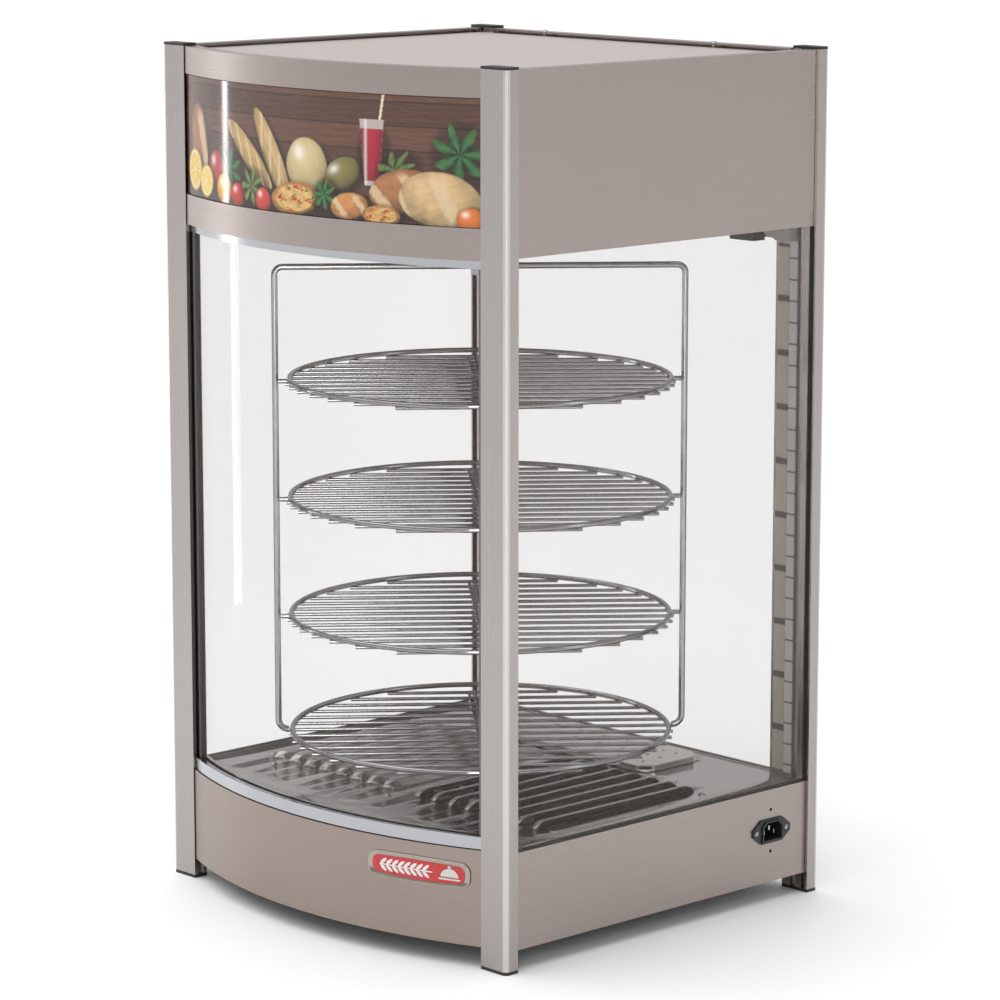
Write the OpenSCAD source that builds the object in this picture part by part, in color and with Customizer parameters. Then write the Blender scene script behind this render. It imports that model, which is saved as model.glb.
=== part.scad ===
// Countertop hot food display case with a turning four-tier rack, a bowed glass front,
// a hinged glass rear door, a heated and ventilated base, and a lit header.
// X runs across the case, -Y is the bowed front, +Z is up, and the case stands on z = 0.

/* [Case] */
// Width over the corner posts
case_w = 466; // [400:2:560]
// Depth over the corner posts
case_d = 404.5; // [360:0.5:480]
// Height from the foot pads to the post caps
case_h = 795; // [700:5:950]
// How far the curved front stands ahead of the front posts
front_bulge = 42; // [25:1:60]
// Thickness of the folded sheet panels
sheet_t = 1.5; // [1.2:0.1:2]

/* [Posts] */
// Width of a corner post, across the case
post_w = 32; // [28:1:38]
// Thickness of a corner post, along the case's depth
post_t = 14.75; // [13:0.25:16]
// Radius of a post's outer corner
post_corner_r = 4.3; // [3:0.1:6]

/* [Base and header] */
// Height of the base panels' lower edge above the table
base_low = 19.5; // [15:0.5:30]
// Height of the base panels' upper edge
base_top = 108; // [95:1:130]
// Height of the front header's lower edge
header_low = 628; // [560:1:760]
// Height of the header's lower front strip
header_lower_h = 28; // [20:1:36]
// Height of the header's upper front strip
header_upper_h = 25; // [18:1:32]

/* [Rack] */
// Outer diameter of a round grid
grid_d = 360; // [300:2:370]
// Number of straight wires in a grid
wire_count = 14; // [8:2:16]
// Distance between neighbouring wires
wire_pitch = 24.4; // [18:0.1:26]
// Diameter of a grid's straight wires
wire_d = 3.4; // [2.5:0.1:4]
// Diameter of a grid's ring rod
ring_d = 5; // [4:0.5:6]
// Diameter of the rack frame's rod
rod_d = 6; // [5:0.5:8]
// Distance between neighbouring grids
grid_gap = 111.3; // [100:0.1:114]
// Height of the lowest grid
grid_low = 153.5; // [150:0.5:158]
// Angle of the rack frame from the case's width
rack_turn = 50; // [0:5:90]

/* [Louvres] */
// Number of louvres in each vent
louvre_count = 8; // [4:1:8]
// Distance between neighbouring louvres
louvre_pitch = 22.5; // [22:0.5:24]
// Overall length of a louvre
louvre_len = 204; // [160:2:210]
// Height of a louvre's open lip
louvre_h = 6.5; // [4:0.5:7]

/* [Hidden] */
$fn = 72;
arc_fn = 360;

// Clearances
gap = 0.3;
run_fit = 0.05;

// Posts
foot_h = 3;
cap_h = 2.4;
post_h = case_h - foot_h - cap_h;
half_w = case_w / 2;
half_d = case_d / 2;
inner_x = half_w - post_w;
inner_y = half_d - post_t;
slot_rim = 3;
slot_w = 4.2;
slot_depth = 5;
groove_s = 15;
groove_w = 6;
groove_depth = 5;

// Bowed front: one arc that meets the posts' inner sides just behind their front faces
bow_set = 1.25;
seam = 0.7;
front_reach = half_d - bow_set + front_bulge;
arc_half = inner_x - seam;
arc_r = (inner_x * inner_x + front_bulge * front_bulge) / (2 * front_bulge);
arc_cy = arc_r - front_reach;

// Rear door
door_t = 10;
door_stile = 20;
door_back = half_d - 0.5;
door_front = door_back - door_t;
door_half = inner_x - 1.3;
door_low = base_top - 9.5;
door_high = header_low - 2;
door_glass_t = 4;
pivot_x = inner_x - 1;
pivot_y = half_d + 5.5;
pivot_pin_r = 2.5;
handle_reach = 24;

// The whole case is shifted so that the origin is below the middle of its box
case_y = (front_reach - door_back - handle_reach) / 2;

// Panels and glass
side_face = half_w - slot_rim - gap;
side_in = half_w - slot_rim - slot_w - gap;
seal_t = 0.5;
slot_reach = inner_y + slot_depth - gap;
side_glass_t = 3;
glass_t = 4;
glass_set = 6.5;
trim_h = 11;
header_side_low = header_low + 3.6;
header_top = case_h - 2.5;
post_top = case_h - cap_h - gap;
graphic_low = header_low + header_lower_h;
graphic_high = header_top - header_upper_h;
cover_drop = 4;
flange = 12;
floor_z = base_top + 0.4;
ceiling_z = header_side_low + 1.4;

// Rack
axis_y = -16;
ring_r = grid_d / 2 - ring_d / 2;
frame_half = grid_d / 2 + 10.5;
frame_top = grid_low + 3 * grid_gap + 104.1;
top_bend = 7.5;
low_bend = 10;
shaft_r = 5;
hub_r = 9;

// Base fittings
louvre_first = 26;
louvre_back = 85;
louvre_arch = 20;
louvre_wall = 1.2;
pan_half = 103;
pan_front = 101.5;
pan_back = 166;
pan_depth = 28;
lid_h = 5.2;
lid_bevel = 13;
lid_hole_pitch = [16.4, 22];
fan_z = 62;
inlet_y = 140;
inlet_z = 69;
inlet_pitch = 40;
earth_hole_r = 1.6;
thermostat_x = 120;
switch_x = [40, 70];
rear_control_z = 58;
rocker_tilt = 6;

// ---------------------------------------------------------------- shared shapes

module placed() translate([0, case_y, 0]) children();

// Flat ring segment of the bowed front, of outer radius r and thickness t
module bow_2d(r, t, half) {
    intersection() {
        translate([0, arc_cy]) difference() {
            circle(r = r, $fn = arc_fn);
            circle(r = r - t, $fn = arc_fn);
        }
        translate([-half, -front_reach - 1]) square([2 * half, front_bulge + 60]);
    }
}

module bow(r, t, half, low, high) {
    translate([0, 0, low]) linear_extrude(high - low) bow_2d(r, t, half);
}

// Plan of the case between the posts, inset from the bowed front
module plan_2d(inset, side, back) {
    intersection() {
        translate([0, arc_cy]) circle(r = arc_r - inset, $fn = arc_fn);
        translate([-arc_half, -front_reach]) square([2 * arc_half, front_reach]);
    }
    translate([-side, -inner_y + gap]) square([2 * side, 2 * (inner_y - gap)]);
    translate([-arc_half, 0]) square([2 * arc_half, back]);
}

module plan_plate(inset, side, back, low, t) {
    translate([0, 0, low]) linear_extrude(t) plan_2d(inset, side, back);
}

module box(low, high) {
    translate(low) cube([high[0] - low[0], high[1] - low[1], high[2] - low[2]]);
}

// Pan-head screw standing along +Z on z = 0, with a cross recess
module screw(head_r, shank_r, shank_len) {
    difference() {
        union() {
            intersection() {
                translate([0, 0, -head_r * 0.9]) sphere(r = head_r * 1.35);
                cylinder(r = head_r, h = head_r);
            }
            translate([0, 0, -shank_len]) cylinder(r = shank_r, h = shank_len);
        }
        for (turn = [0, 90]) rotate([0, 0, turn])
            translate([-head_r * 0.55, -0.3, head_r * 0.2]) cube([head_r * 1.1, 0.6, head_r]);
    }
}

// ---------------------------------------------------------------- posts

// Section of a post: s runs inwards from its side face, d inwards from its outer face
post_corner = [for (a = [90:15:180]) [post_corner_r * (1 + cos(a)), post_corner_r * (1 - sin(a))]];
post_slots = [
    [0, post_t], [slot_rim, post_t], [slot_rim, post_t - slot_depth],
    [slot_rim + slot_w, post_t - slot_depth], [slot_rim + slot_w, post_t],
    [groove_s, post_t], [groove_s, post_t - groove_depth],
    [groove_s + groove_w, post_t - groove_depth], [groove_s + groove_w, post_t]];
post_edge = [[post_w, post_t], [post_w, 11], [post_w - 2, 11], [post_w - 2, 4], [post_w, 4]];

// Mirrored so that the section's corner is the case's corner
module at_corner(side, end) {
    translate([side * half_w, end * half_d, 0])
        mirror([side > 0 ? 1 : 0, 0, 0]) mirror([0, end > 0 ? 1 : 0, 0]) children();
}

module post(side, end) {
    color("silver") placed() at_corner(side, end) translate([0, 0, foot_h])
        linear_extrude(post_h) polygon(concat([[post_w, 0]], post_corner, post_slots, post_edge));
}

module post_end(low, h) {
    for (side = [-1, 1], end = [-1, 1]) at_corner(side, end) translate([0, 0, low])
        linear_extrude(h) polygon(concat([[post_w, 0]], post_corner, [[0, post_t], [post_w, post_t]]));
}

module post_front_left() post(-1, -1);
module post_front_right() post(1, -1);
module post_rear_left() post(-1, 1);
module post_rear_right() post(1, 1);
module post_top_caps() color("black") placed() post_end(case_h - cap_h, cap_h);
module post_feet() color("black") placed() post_end(0, foot_h);

// ---------------------------------------------------------------- base panels

module front_fascia() color("rosybrown") placed() {
    bow(arc_r, sheet_t, arc_half, base_low, base_top - 0.7);
    bow(arc_r - sheet_t, flange, arc_half - 2, base_top - 0.7 - sheet_t, base_top - 0.7);
}

// Raised plaque on the right of the fascia: a rounded plate bent to the fascia's arc
badge_angle = 16.3;
badge_half_w = 52;
badge_half_h = 12.5;
module fascia_badge() color("firebrick") placed() {
    intersection() {
        bow(arc_r + 2, 2 - gap / 3, arc_half, base_low, base_top);
        translate([0, arc_cy, 82.5]) rotate([90, 0, badge_angle]) linear_extrude(arc_r + 10)
            union() {
                square([2 * badge_half_w - 16, 2 * badge_half_h], center = true);
                square([2 * badge_half_w, 2 * badge_half_h - 16], center = true);
                for (x = [-1, 1], z = [-1, 1])
                    translate([x * (badge_half_w - 8), z * (badge_half_h - 8)]) circle(r = 8);
            }
    }
}

// Folded side panel of the base, seated in the posts' slots
module base_side() {
    box([side_face - sheet_t, -slot_reach, base_low], [side_face, slot_reach, base_top + 0.2]);
    box([side_face - sheet_t - 14, -inner_y + gap, base_top - 1.1 - sheet_t],
        [side_face - sheet_t, inner_y - gap, base_top - 1.1]);
}

module base_panel_left() color("rosybrown") placed() mirror([1, 0, 0]) base_side();

module base_panel_right() color("rosybrown") placed() difference() {
    base_side();
    box([side_in, inlet_y - 14, inlet_z - 10.4], [half_w, inlet_y + 14, inlet_z + 10.4]);
    for (turn = [0, 90], end = [-1, 1])
        translate([side_in, inlet_y, inlet_z]) rotate([turn, 0, 0])
            translate([0, end * inlet_pitch / 2, 0]) rotate([0, 90, 0])
                cylinder(r = earth_hole_r, h = 20, $fn = 32);
}

rear_face = half_d - 3.75;
module base_panel_rear() color("rosybrown") placed() difference() {
    union() {
        box([-arc_half, rear_face - sheet_t, base_low], [arc_half, rear_face, door_low - 1.5]);
        box([-arc_half, rear_face - sheet_t - flange, door_low - 1.5 - sheet_t],
            [arc_half, rear_face - sheet_t, door_low - 1.5]);
    }
    translate([thermostat_x, rear_face + 1, rear_control_z]) rotate([90, 0, 0])
        cylinder(r = 5, h = 5, $fn = 48);
    for (x = switch_x)
        box([x - 7.8, rear_face - 3, rear_control_z - 11], [x + 7.8, rear_face + 1, rear_control_z + 11]);
}

module bottom_plate() color("silver") placed()
    plan_plate(sheet_t + gap, side_face - sheet_t - gap, rear_face - sheet_t - gap, base_low, sheet_t);

// ---------------------------------------------------------------- floor of the chamber

// Louvre along Y with its open lip on x = 0 facing +X: an arched wall closed at both ends
louvre_turn = acos((louvre_arch - louvre_h) / louvre_arch);
function louvre_arc(r, steps) = [for (i = steps) let (a = i * louvre_turn / 6)
    [-r * sin(a), r * cos(a) + louvre_h - louvre_arch]];

module louvre() rotate([90, 0, 0]) {
    linear_extrude(louvre_len - 2, center = true)
        polygon(concat(louvre_arc(louvre_arch, [0:6]), louvre_arc(louvre_arch - louvre_wall, [6:-1:0])));
    for (end = [-1, 1]) translate([0, 0, end * (louvre_len - louvre_wall) / 2])
        linear_extrude(louvre_wall, center = true)
            polygon(concat([[0, -0.8]], louvre_arc(louvre_arch, [0:6]), [[-14, -0.8]]));
}

module at_louvres() {
    for (side = [0, 1], i = [0 : louvre_count - 1])
        mirror([side, 0, 0])
            translate([louvre_first + i * louvre_pitch, louvre_back - louvre_len / 2, floor_z]) children();
}

floor_screw_spots = [[200, -112], [200, 78], [3, -136], [-193, -110], [-162, -135], [-200, 78]];

module floor_plate() color("silver") placed() {
    difference() {
        union() {
            plan_plate(14.3, side_in - gap, door_front - 1, floor_z - sheet_t, sheet_t);
            box([-arc_half, door_front - 1 - sheet_t, door_low], [arc_half, door_front - 1, floor_z]);
        }
        at_louvres() box([-12, -louvre_len / 2 + 6, -3], [1.5, louvre_len / 2 - 6, 1]);
        box([-pan_half, pan_front, floor_z - 5], [pan_half, pan_back, floor_z + 5]);
        bow(arc_r, 14.3, inner_x, floor_z - 5, floor_z + 5);
        for (spot = floor_screw_spots)
            translate([spot[0], spot[1], floor_z - 5]) cylinder(r = 2, h = 10, $fn = 32);
    }
    at_louvres() louvre();
}

module floor_screws() color("silver") placed()
    for (spot = floor_screw_spots) translate([spot[0], spot[1], floor_z + 0.02]) screw(4, 1.8, 7);

// Water pan hung by its rim in the floor, and its perforated lid
module water_pan() color("silver") placed() difference() {
    union() {
        box([-pan_half + 1, pan_front + 1, floor_z - pan_depth], [pan_half - 1, pan_back - 1, floor_z + 1]);
        box([-pan_half - 5, pan_front - 5, floor_z + gap / 6], [pan_half + 5, pan_back + 5, floor_z + 1]);
    }
    box([-pan_half + 2.2, pan_front + 2.2, floor_z - pan_depth + 1.2],
        [pan_half - 2.2, pan_back - 2.2, floor_z + 2]);
}

module lid_plan(grow) {
    x = pan_half + 7 + grow;
    y0 = pan_front - 7 - grow;
    y1 = pan_back + 7 + grow;
    b = lid_bevel;
    polygon([[-x + b, y0], [x - b, y0], [x, y0 + b], [x, y1 - b],
        [x - b, y1], [-x + b, y1], [-x, y1 - b], [-x, y0 + b]]);
}

module pan_lid() color("silver") placed() difference() {
    translate([0, 0, floor_z + 1 + gap / 6]) linear_extrude(lid_h) lid_plan(0);
    translate([0, 0, floor_z]) linear_extrude(lid_h - 0.2) lid_plan(-1.2);
    for (i = [-5.5:5.5], row = [-1:1])
        translate([i * lid_hole_pitch[0], (pan_front + pan_back) / 2 + row * lid_hole_pitch[1], floor_z])
            cylinder(r = 1.9, h = 20, $fn = 24);
    for (side = [-1, 1])
        translate([side * (pan_half + 7 - lid_bevel / 2), pan_front - 7 + lid_bevel / 2, floor_z])
            rotate([0, 0, side * 45]) box([-6, -6, 2.2], [6, 6, 4.8]);
}

// ---------------------------------------------------------------- glass and its trims

trim_low = base_top + 0.2;
upper_trim_top = header_low - 0.2;
module trim_ring(low, high) bow(arc_r - 1.2, 12.8, arc_half, low, high);
module glass_slot(low, high) bow(arc_r - glass_set + gap, glass_t + 2 * gap, arc_half + 5, low, high);

module front_glass() color("lightblue", 0.3) placed()
    bow(arc_r - glass_set, glass_t, arc_half - 2.5, trim_low + 3, upper_trim_top - 2);

module lower_glass_trim() color("lightsteelblue") placed() difference() {
    trim_ring(trim_low, trim_low + trim_h);
    glass_slot(trim_low + 2.5, case_h);
}

module upper_glass_trim() color("lightsteelblue") placed() difference() {
    bow(arc_r - 4, 10, arc_half, upper_trim_top - 7, upper_trim_top);
    glass_slot(0, upper_trim_top - 1.5);
}

// Upright channels at the front glass's ends, and the seal below the lower trim
module glass_gaskets() color("black") placed() {
    difference() {
        bow(arc_r - glass_set + 1.2, glass_t + 2.4, arc_half - 0.2, trim_low + trim_h + gap,
            upper_trim_top - 7 - gap);
        bow(arc_r - glass_set + gap, glass_t + 2 * gap, arc_half - 2.2, 0, case_h);
        box([-arc_half + 6, -front_reach, 0], [arc_half - 6, half_d, case_h]);
    }
    bow(arc_r - 1.8, 9, arc_half, base_top - 0.6, base_top + 0.15);
}

side_glass_x = side_face - seal_t;
module side_glass(side) color("lightblue", 0.3) placed() mirror([side < 0 ? 1 : 0, 0, 0])
    box([side_glass_x - side_glass_t, -slot_reach, base_top + 0.5],
        [side_glass_x, slot_reach, header_side_low - gap]);

// Rubber strips on both faces of the side glass, in the posts' slots and on the floor's fold
module side_seals() color("black") placed() for (side = [0, 1]) mirror([side, 0, 0]) {
    for (end = [0, 1]) mirror([0, end, 0]) {
        box([side_glass_x + 0.05, -slot_reach, base_top + 0.5],
            [side_face + 0.2, -inner_y + 1.2, header_side_low - gap]);
        box([side_in + 0.35, -slot_reach, base_top + 0.5],
            [side_glass_x - side_glass_t - 0.05, -inner_y + 1.2, header_side_low - gap]);
    }
    box([side_glass_x - side_glass_t - 1.6, -inner_y + 1.6, floor_z + 0.05],
        [side_glass_x - side_glass_t - 0.05, inner_y - 1.6, floor_z + 2.2]);
}
module side_glass_left() side_glass(-1);
module side_glass_right() side_glass(1);

// ---------------------------------------------------------------- header

// Curved strip with a flange folded inwards along each long edge
module header_strip(low, high) {
    bow(arc_r, sheet_t, arc_half, low, high);
    bow(arc_r - sheet_t, flange, arc_half - 2, low, low + sheet_t);
    bow(arc_r - sheet_t, flange, arc_half - 2, high - sheet_t, high);
}

module header_lower_strip() color("rosybrown") placed() header_strip(header_low, graphic_low);
module header_top_strip() color("rosybrown") placed() header_strip(graphic_high, header_top);
module graphic_panel() color("saddlebrown") placed()
    bow(arc_r - 1.2, 3, arc_half - 0.5, graphic_low + gap, graphic_high - gap);

module header_side() {
    box([side_face - sheet_t, -slot_reach, header_side_low], [side_face, slot_reach, post_top]);
    box([side_face - sheet_t, -inner_y + gap, header_side_low], [side_face, inner_y - gap, header_top]);
    box([side_face - sheet_t - flange, -inner_y + gap, header_top - sheet_t],
        [side_face - sheet_t, inner_y - gap, header_top]);
}

module header_panel_left() color("rosybrown") placed() mirror([1, 0, 0]) header_side();
module header_panel_right() color("rosybrown") placed() header_side();

cover_screw_x = [-130, 98];
module header_panel_rear() color("rosybrown") placed() difference() {
    union() {
        box([-arc_half, rear_face - sheet_t, header_side_low], [arc_half, rear_face, header_top]);
        box([-arc_half, rear_face - sheet_t - flange, header_top - sheet_t],
            [arc_half, rear_face - sheet_t, header_top]);
    }
    for (x = cover_screw_x) translate([x, rear_face - 8, header_top - 5])
        cylinder(r = 2.1, h = 10, $fn = 32);
}

module top_cover() color("gainsboro") placed()
    plan_plate(sheet_t + gap, side_face - sheet_t - gap, rear_face - sheet_t - gap,
        header_top - cover_drop - sheet_t, sheet_t);

// Screws of the panels, the motor and the inlet, as separate solids
module case_screws() color("dimgray") {
    placed() for (x = cover_screw_x)
        translate([x, rear_face - 8, header_top + 0.02]) screw(3.6, 1.9, 4);
    placed() for (x = [-180, -60, 60, 180], z = [header_side_low + 12, base_low + 12])
        translate([x, rear_face + 0.02, z]) rotate([-90, 0, 0]) screw(3.2, 0.4, 0.02);
    motor_screws();
    inlet_screws();
}

// ---------------------------------------------------------------- header fittings

lamp_x = 140;
lamp_y = 128;
lamp_r = 23;
lamp_drop = 13.5;
lamp_bow = 50;
module ceiling_plate() color("gainsboro") placed() difference() {
    plan_plate(15, side_in - gap, rear_face - sheet_t - gap, ceiling_z, sheet_t);
    translate([0, axis_y, 0]) cylinder(r = 9.3, h = case_h);
    translate([lamp_x, lamp_y, 0]) cylinder(r = 6.3, h = case_h);
}

module shaft_bush() color("peru") placed() translate([0, axis_y, 0]) difference() {
    union() {
        translate([0, 0, ceiling_z - 5]) cylinder(r = 9, h = 18);
        translate([0, 0, ceiling_z - 3.1]) cylinder(r = 14, h = 3);
    }
    cylinder(r = shaft_r + run_fit, h = case_h);
}

bracket_z = ceiling_z + 30;
bracket_leg = 48;
module motor_bracket() color("gainsboro") placed() translate([0, axis_y, 0]) difference() {
    union() {
        box([-bracket_leg, -34, bracket_z], [bracket_leg, 34, bracket_z + 2.5]);
        for (side = [0, 1]) mirror([side, 0, 0]) {
            box([bracket_leg - 2.5, -34, ceiling_z + sheet_t], [bracket_leg, 34, bracket_z + 2.5]);
            box([bracket_leg - 2.5, -34, ceiling_z + sheet_t],
                [bracket_leg + 16, 34, ceiling_z + sheet_t + 2.5]);
        }
    }
    cylinder(r = 12, h = case_h);
    for (x = [-1, 1], y = [-1, 1]) {
        translate([x * 25, y * 25, 0]) cylinder(r = 2.2, h = case_h, $fn = 32);
        translate([x * (bracket_leg + 8), y * 24, 0]) cylinder(r = 2.2, h = case_h, $fn = 32);
    }
}

module gear_motor() color("slategray") placed() translate([0, axis_y, bracket_z + 2.5]) difference() {
    union() {
        translate([-31, -31, 0]) cube([62, 62, 26]);
        translate([0, 0, 26]) cylinder(r = 25, h = 38);
        translate([0, 0, 64]) cylinder(r = 9, h = 3);
    }
    translate([0, 0, -1]) cylinder(r = shaft_r + run_fit, h = 24);
    for (x = [-1, 1], y = [-1, 1]) translate([x * 25, y * 25, -1]) cylinder(r = 2.2, h = 40, $fn = 32);
}

module motor_screws() placed() translate([0, axis_y, 0]) for (x = [-1, 1], y = [-1, 1]) {
    translate([x * 25, y * 25, bracket_z + 28.52]) screw(3.6, 1.9, 30);
    translate([x * (bracket_leg + 8), y * 24, ceiling_z + sheet_t + 2.52]) screw(3.6, 1.9, 2);
}

// Slim lamp bar behind the graphic panel, on two feet
module backlight_bar() color("white") placed() {
    box([-170, -172, 700], [170, -160, 718]);
    box([-170, -176, 703], [170, -172, 715]);
    for (x = [-140, 140]) box([x - 10, -168, ceiling_z + sheet_t + 0.02], [x + 10, -164, 700]);
}

// Round lamp under the ceiling: a rim, a shallow domed cover and a cable stem
module interior_lamp() color("ivory") placed() translate([lamp_x, lamp_y, ceiling_z]) {
    translate([0, 0, -8.1]) cylinder(r = lamp_r, h = 8);
    translate([0, 0, -0.2]) cylinder(r = 6, h = 14);
    intersection() {
        translate([0, 0, lamp_bow - lamp_drop]) sphere(r = lamp_bow);
        translate([0, 0, -lamp_drop - 1]) cylinder(r = lamp_r - 2, h = lamp_drop);
    }
}

// Strips of small lamps on the rear posts' inner faces, and their blocks under the ceiling
strip_x = inner_x + 1;
block_low = ceiling_z - 16.8;
module led_strips() color("whitesmoke") placed() for (side = [0, 1]) mirror([side, 0, 0]) {
    box([strip_x, inner_y - 1.4, floor_z + 4], [strip_x + 9, inner_y - 0.1, block_low - 1]);
    for (z = [floor_z + 24 : 20 : block_low - 16])
        box([strip_x + 3, inner_y - 2, z], [strip_x + 6, inner_y - 1.4, z + 3]);
}

module strip_blocks() color("gray") placed() for (side = [0, 1]) mirror([side, 0, 0])
    translate([strip_x, inner_y - gap, block_low]) rotate([90, 0, 0]) linear_extrude(10)
        polygon([[-25, 16.7], [-25, 6], [-21, 2], [-13.5, 2], [-11.5, 0], [7, 0], [7, 16.7]]);

// ---------------------------------------------------------------- heater and fan

// Tubular element lying flat: three runs along Y joined by round bends
element_r = 4;
element_pitch = 38;
element_y = [-92, 60];
module heater_element() translate([70, 0, 84]) {
    for (i = [0:2]) translate([i * element_pitch, element_y[0], 0]) rotate([-90, 0, 0])
        cylinder(r = element_r, h = element_y[1] - element_y[0], $fn = 48);
    translate([element_pitch / 2, element_y[1], 0])
        rotate_extrude(angle = 180) translate([element_pitch / 2, 0]) circle(r = element_r, $fn = 48);
    translate([element_pitch * 1.5, element_y[0], 0]) rotate([0, 0, 180])
        rotate_extrude(angle = 180) translate([element_pitch / 2, 0]) circle(r = element_r, $fn = 48);
}

module heater_elements() color("dimgray") placed() for (side = [0, 1]) mirror([side, 0, 0]) {
    heater_element();
    for (y = [-60, 30]) box([66, y - 1, base_low + sheet_t + 0.02], [152, y + 1, 80 - gap]);
}

fan_y = -20;
module fan_motor() color("slategray") placed() translate([0, fan_y, base_low + sheet_t + 0.02]) difference() {
    union() {
        cylinder(r = 40, h = 2.5);
        cylinder(r = 30, h = 38);
    }
    translate([0, 0, 18]) cylinder(r = 3 + run_fit, h = 40);
    for (a = [45:90:315]) rotate([0, 0, a]) translate([35, 0, -1]) cylinder(r = 2.2, h = 10, $fn = 32);
}

module fan_impeller() color("lightgray") placed() translate([0, fan_y, fan_z]) {
    translate([0, 0, -20]) cylinder(r = 3, h = 22);
    cylinder(r = 9, h = 20);
    difference() {
        cylinder(r = 54, h = 1.5);
        cylinder(r = 5, h = 5, center = true);
    }
    for (a = [0:36:324]) rotate([0, 0, a]) translate([26, -0.8, 1]) rotate([0, 0, 25])
        cube([26, 1.6, 22]);
}

// ---------------------------------------------------------------- controls

module thermostat_body() color("dimgray") placed() translate([thermostat_x, 0, rear_control_z]) {
    box([-17, rear_face - sheet_t - 34, -20], [17, rear_face - sheet_t - 0.1, 20]);
    translate([0, rear_face + 12, 0]) rotate([90, 0, 0]) cylinder(r = 3, h = 20);
}

module thermostat_knob() color("black") placed() translate([thermostat_x, rear_face + 0.6, rear_control_z])
    rotate([-90, 0, 0]) difference() {
        union() {
            cylinder(r = 20, h = 3);
            cylinder(r = 16, h = 16);
            translate([-1, -19, 0]) cube([2, 5, 5]);
        }
        translate([0, 0, -1]) cylinder(r = 3 + run_fit, h = 13.5);
        for (a = [15:30:345]) rotate([0, 0, a]) translate([17, 0, 3]) cylinder(r = 2.2, h = 20, $fn = 32);
    }

rocker_y = rear_face - 4;
module switch_housing() difference() {
    union() {
        box([-7.5, rear_face - 18, -10.7], [7.5, rear_face + 0.1, 10.7]);
        box([-9.5, rear_face + 0.1, -12.7], [9.5, rear_face + 2, 12.7]);
    }
    box([-5.8, rear_face - 12, -9.6], [5.8, rear_face + 5, 9.6]);
    translate([0, rocker_y, 0]) rotate([0, 90, 0]) cylinder(r = 1.2 + run_fit, h = 14.6, center = true);
}

module switch_housings() color("black") placed()
    for (x = switch_x) translate([x, 0, rear_control_z]) switch_housing();

module rocker(x) placed() translate([x, rocker_y, rear_control_z]) rotate([rocker_tilt, 0, 0]) {
    box([-5.5, -3, -8], [5.5, 6.6, 8]);
    rotate([0, 90, 0]) cylinder(r = 1.2, h = 14, center = true);
}
module power_rocker() color("red") rocker(switch_x[0]);
module light_rocker() color("white") rocker(switch_x[1]);

// ---------------------------------------------------------------- power inlet

// Outline of the inlet's flange and of its body, in the panel's plane
module inlet_flange_2d() {
    difference() {
        polygon([[-25, -3], [-14, -11.5], [14, -11.5], [25, -3], [25, 3], [14, 11.5], [-14, 11.5], [-25, 3]]);
        for (end = [-1, 1]) translate([end * inlet_pitch / 2, 0]) circle(r = 1.7, $fn = 32);
        inlet_cavity_2d();
    }
}
module inlet_shell_2d(grow) {
    w = 12.2 + grow;
    h = 8.3 + grow;
    polygon([[-w, -h], [w, -h], [w, h - 5], [w - 5, h], [-w + 5, h], [-w, h - 5]]);
}
module inlet_cavity_2d() inlet_shell_2d(0);

module on_inlet(x) placed() translate([x, inlet_y, inlet_z]) rotate([90, 0, 90]) children();

module inlet_body() color("black") difference() {
    union() {
        on_inlet(side_face + 0.02) linear_extrude(1.8) inlet_flange_2d();
        on_inlet(side_face - 20) linear_extrude(half_w - side_face + 20) inlet_shell_2d(1.6);
    }
    on_inlet(side_face - 14) linear_extrude(30) inlet_cavity_2d();
    for (y = [-7, 0, 7])
        on_inlet(side_face - 30) translate([y, y == 0 ? 2 : -2, 0]) linear_extrude(30)
            square([2.4, 4.4], center = true);
}

module inlet_pins() color("silver") for (y = [-7, 0, 7])
    on_inlet(side_face - 26) translate([y, y == 0 ? 2 : -2, 0]) linear_extrude(24)
        square([2, 4], center = true);

module inlet_screws() for (end = [-1, 1])
    on_inlet(side_face + 1.84) translate([end * inlet_pitch / 2, 0, 0]) screw(1.25 * 2, 1.4, 6);

// ---------------------------------------------------------------- turning rack

module on_rack() placed() translate([0, axis_y, 0]) rotate([0, 0, rack_turn]) children();

module rod(from_x, to_x, z) translate([from_x, 0, z]) rotate([0, 90, 0])
    cylinder(r = rod_d / 2, h = to_x - from_x, $fn = 48);

// Quarter bend in the frame's plane, of centre-line radius r
module bend(r, turn) rotate([90, turn, 0]) rotate_extrude(angle = 90)
    translate([r, 0]) circle(r = rod_d / 2, $fn = 48);

module rack_frame() color("silver") on_rack() difference() {
    union() {
        rod(-frame_half + top_bend, frame_half - top_bend, frame_top);
        for (side = [0, 1]) mirror([side, 0, 0]) {
            translate([frame_half - top_bend, 0, frame_top - top_bend]) bend(top_bend, 0);
            translate([frame_half, 0, grid_low + low_bend])
                cylinder(r = rod_d / 2, h = frame_top - top_bend - grid_low - low_bend, $fn = 48);
            translate([frame_half - low_bend, 0, grid_low + low_bend]) bend(low_bend, 90);
        }
        translate([0, 0, frame_top - 8]) cylinder(r = hub_r, h = 24);
    }
    translate([0, 0, frame_top - 2]) cylinder(r = shaft_r + run_fit, h = 30);
    translate([0, 0, frame_top + 10]) rotate([90, 0, 0]) cylinder(r = 1.55, h = 30, center = true);
}

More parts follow.
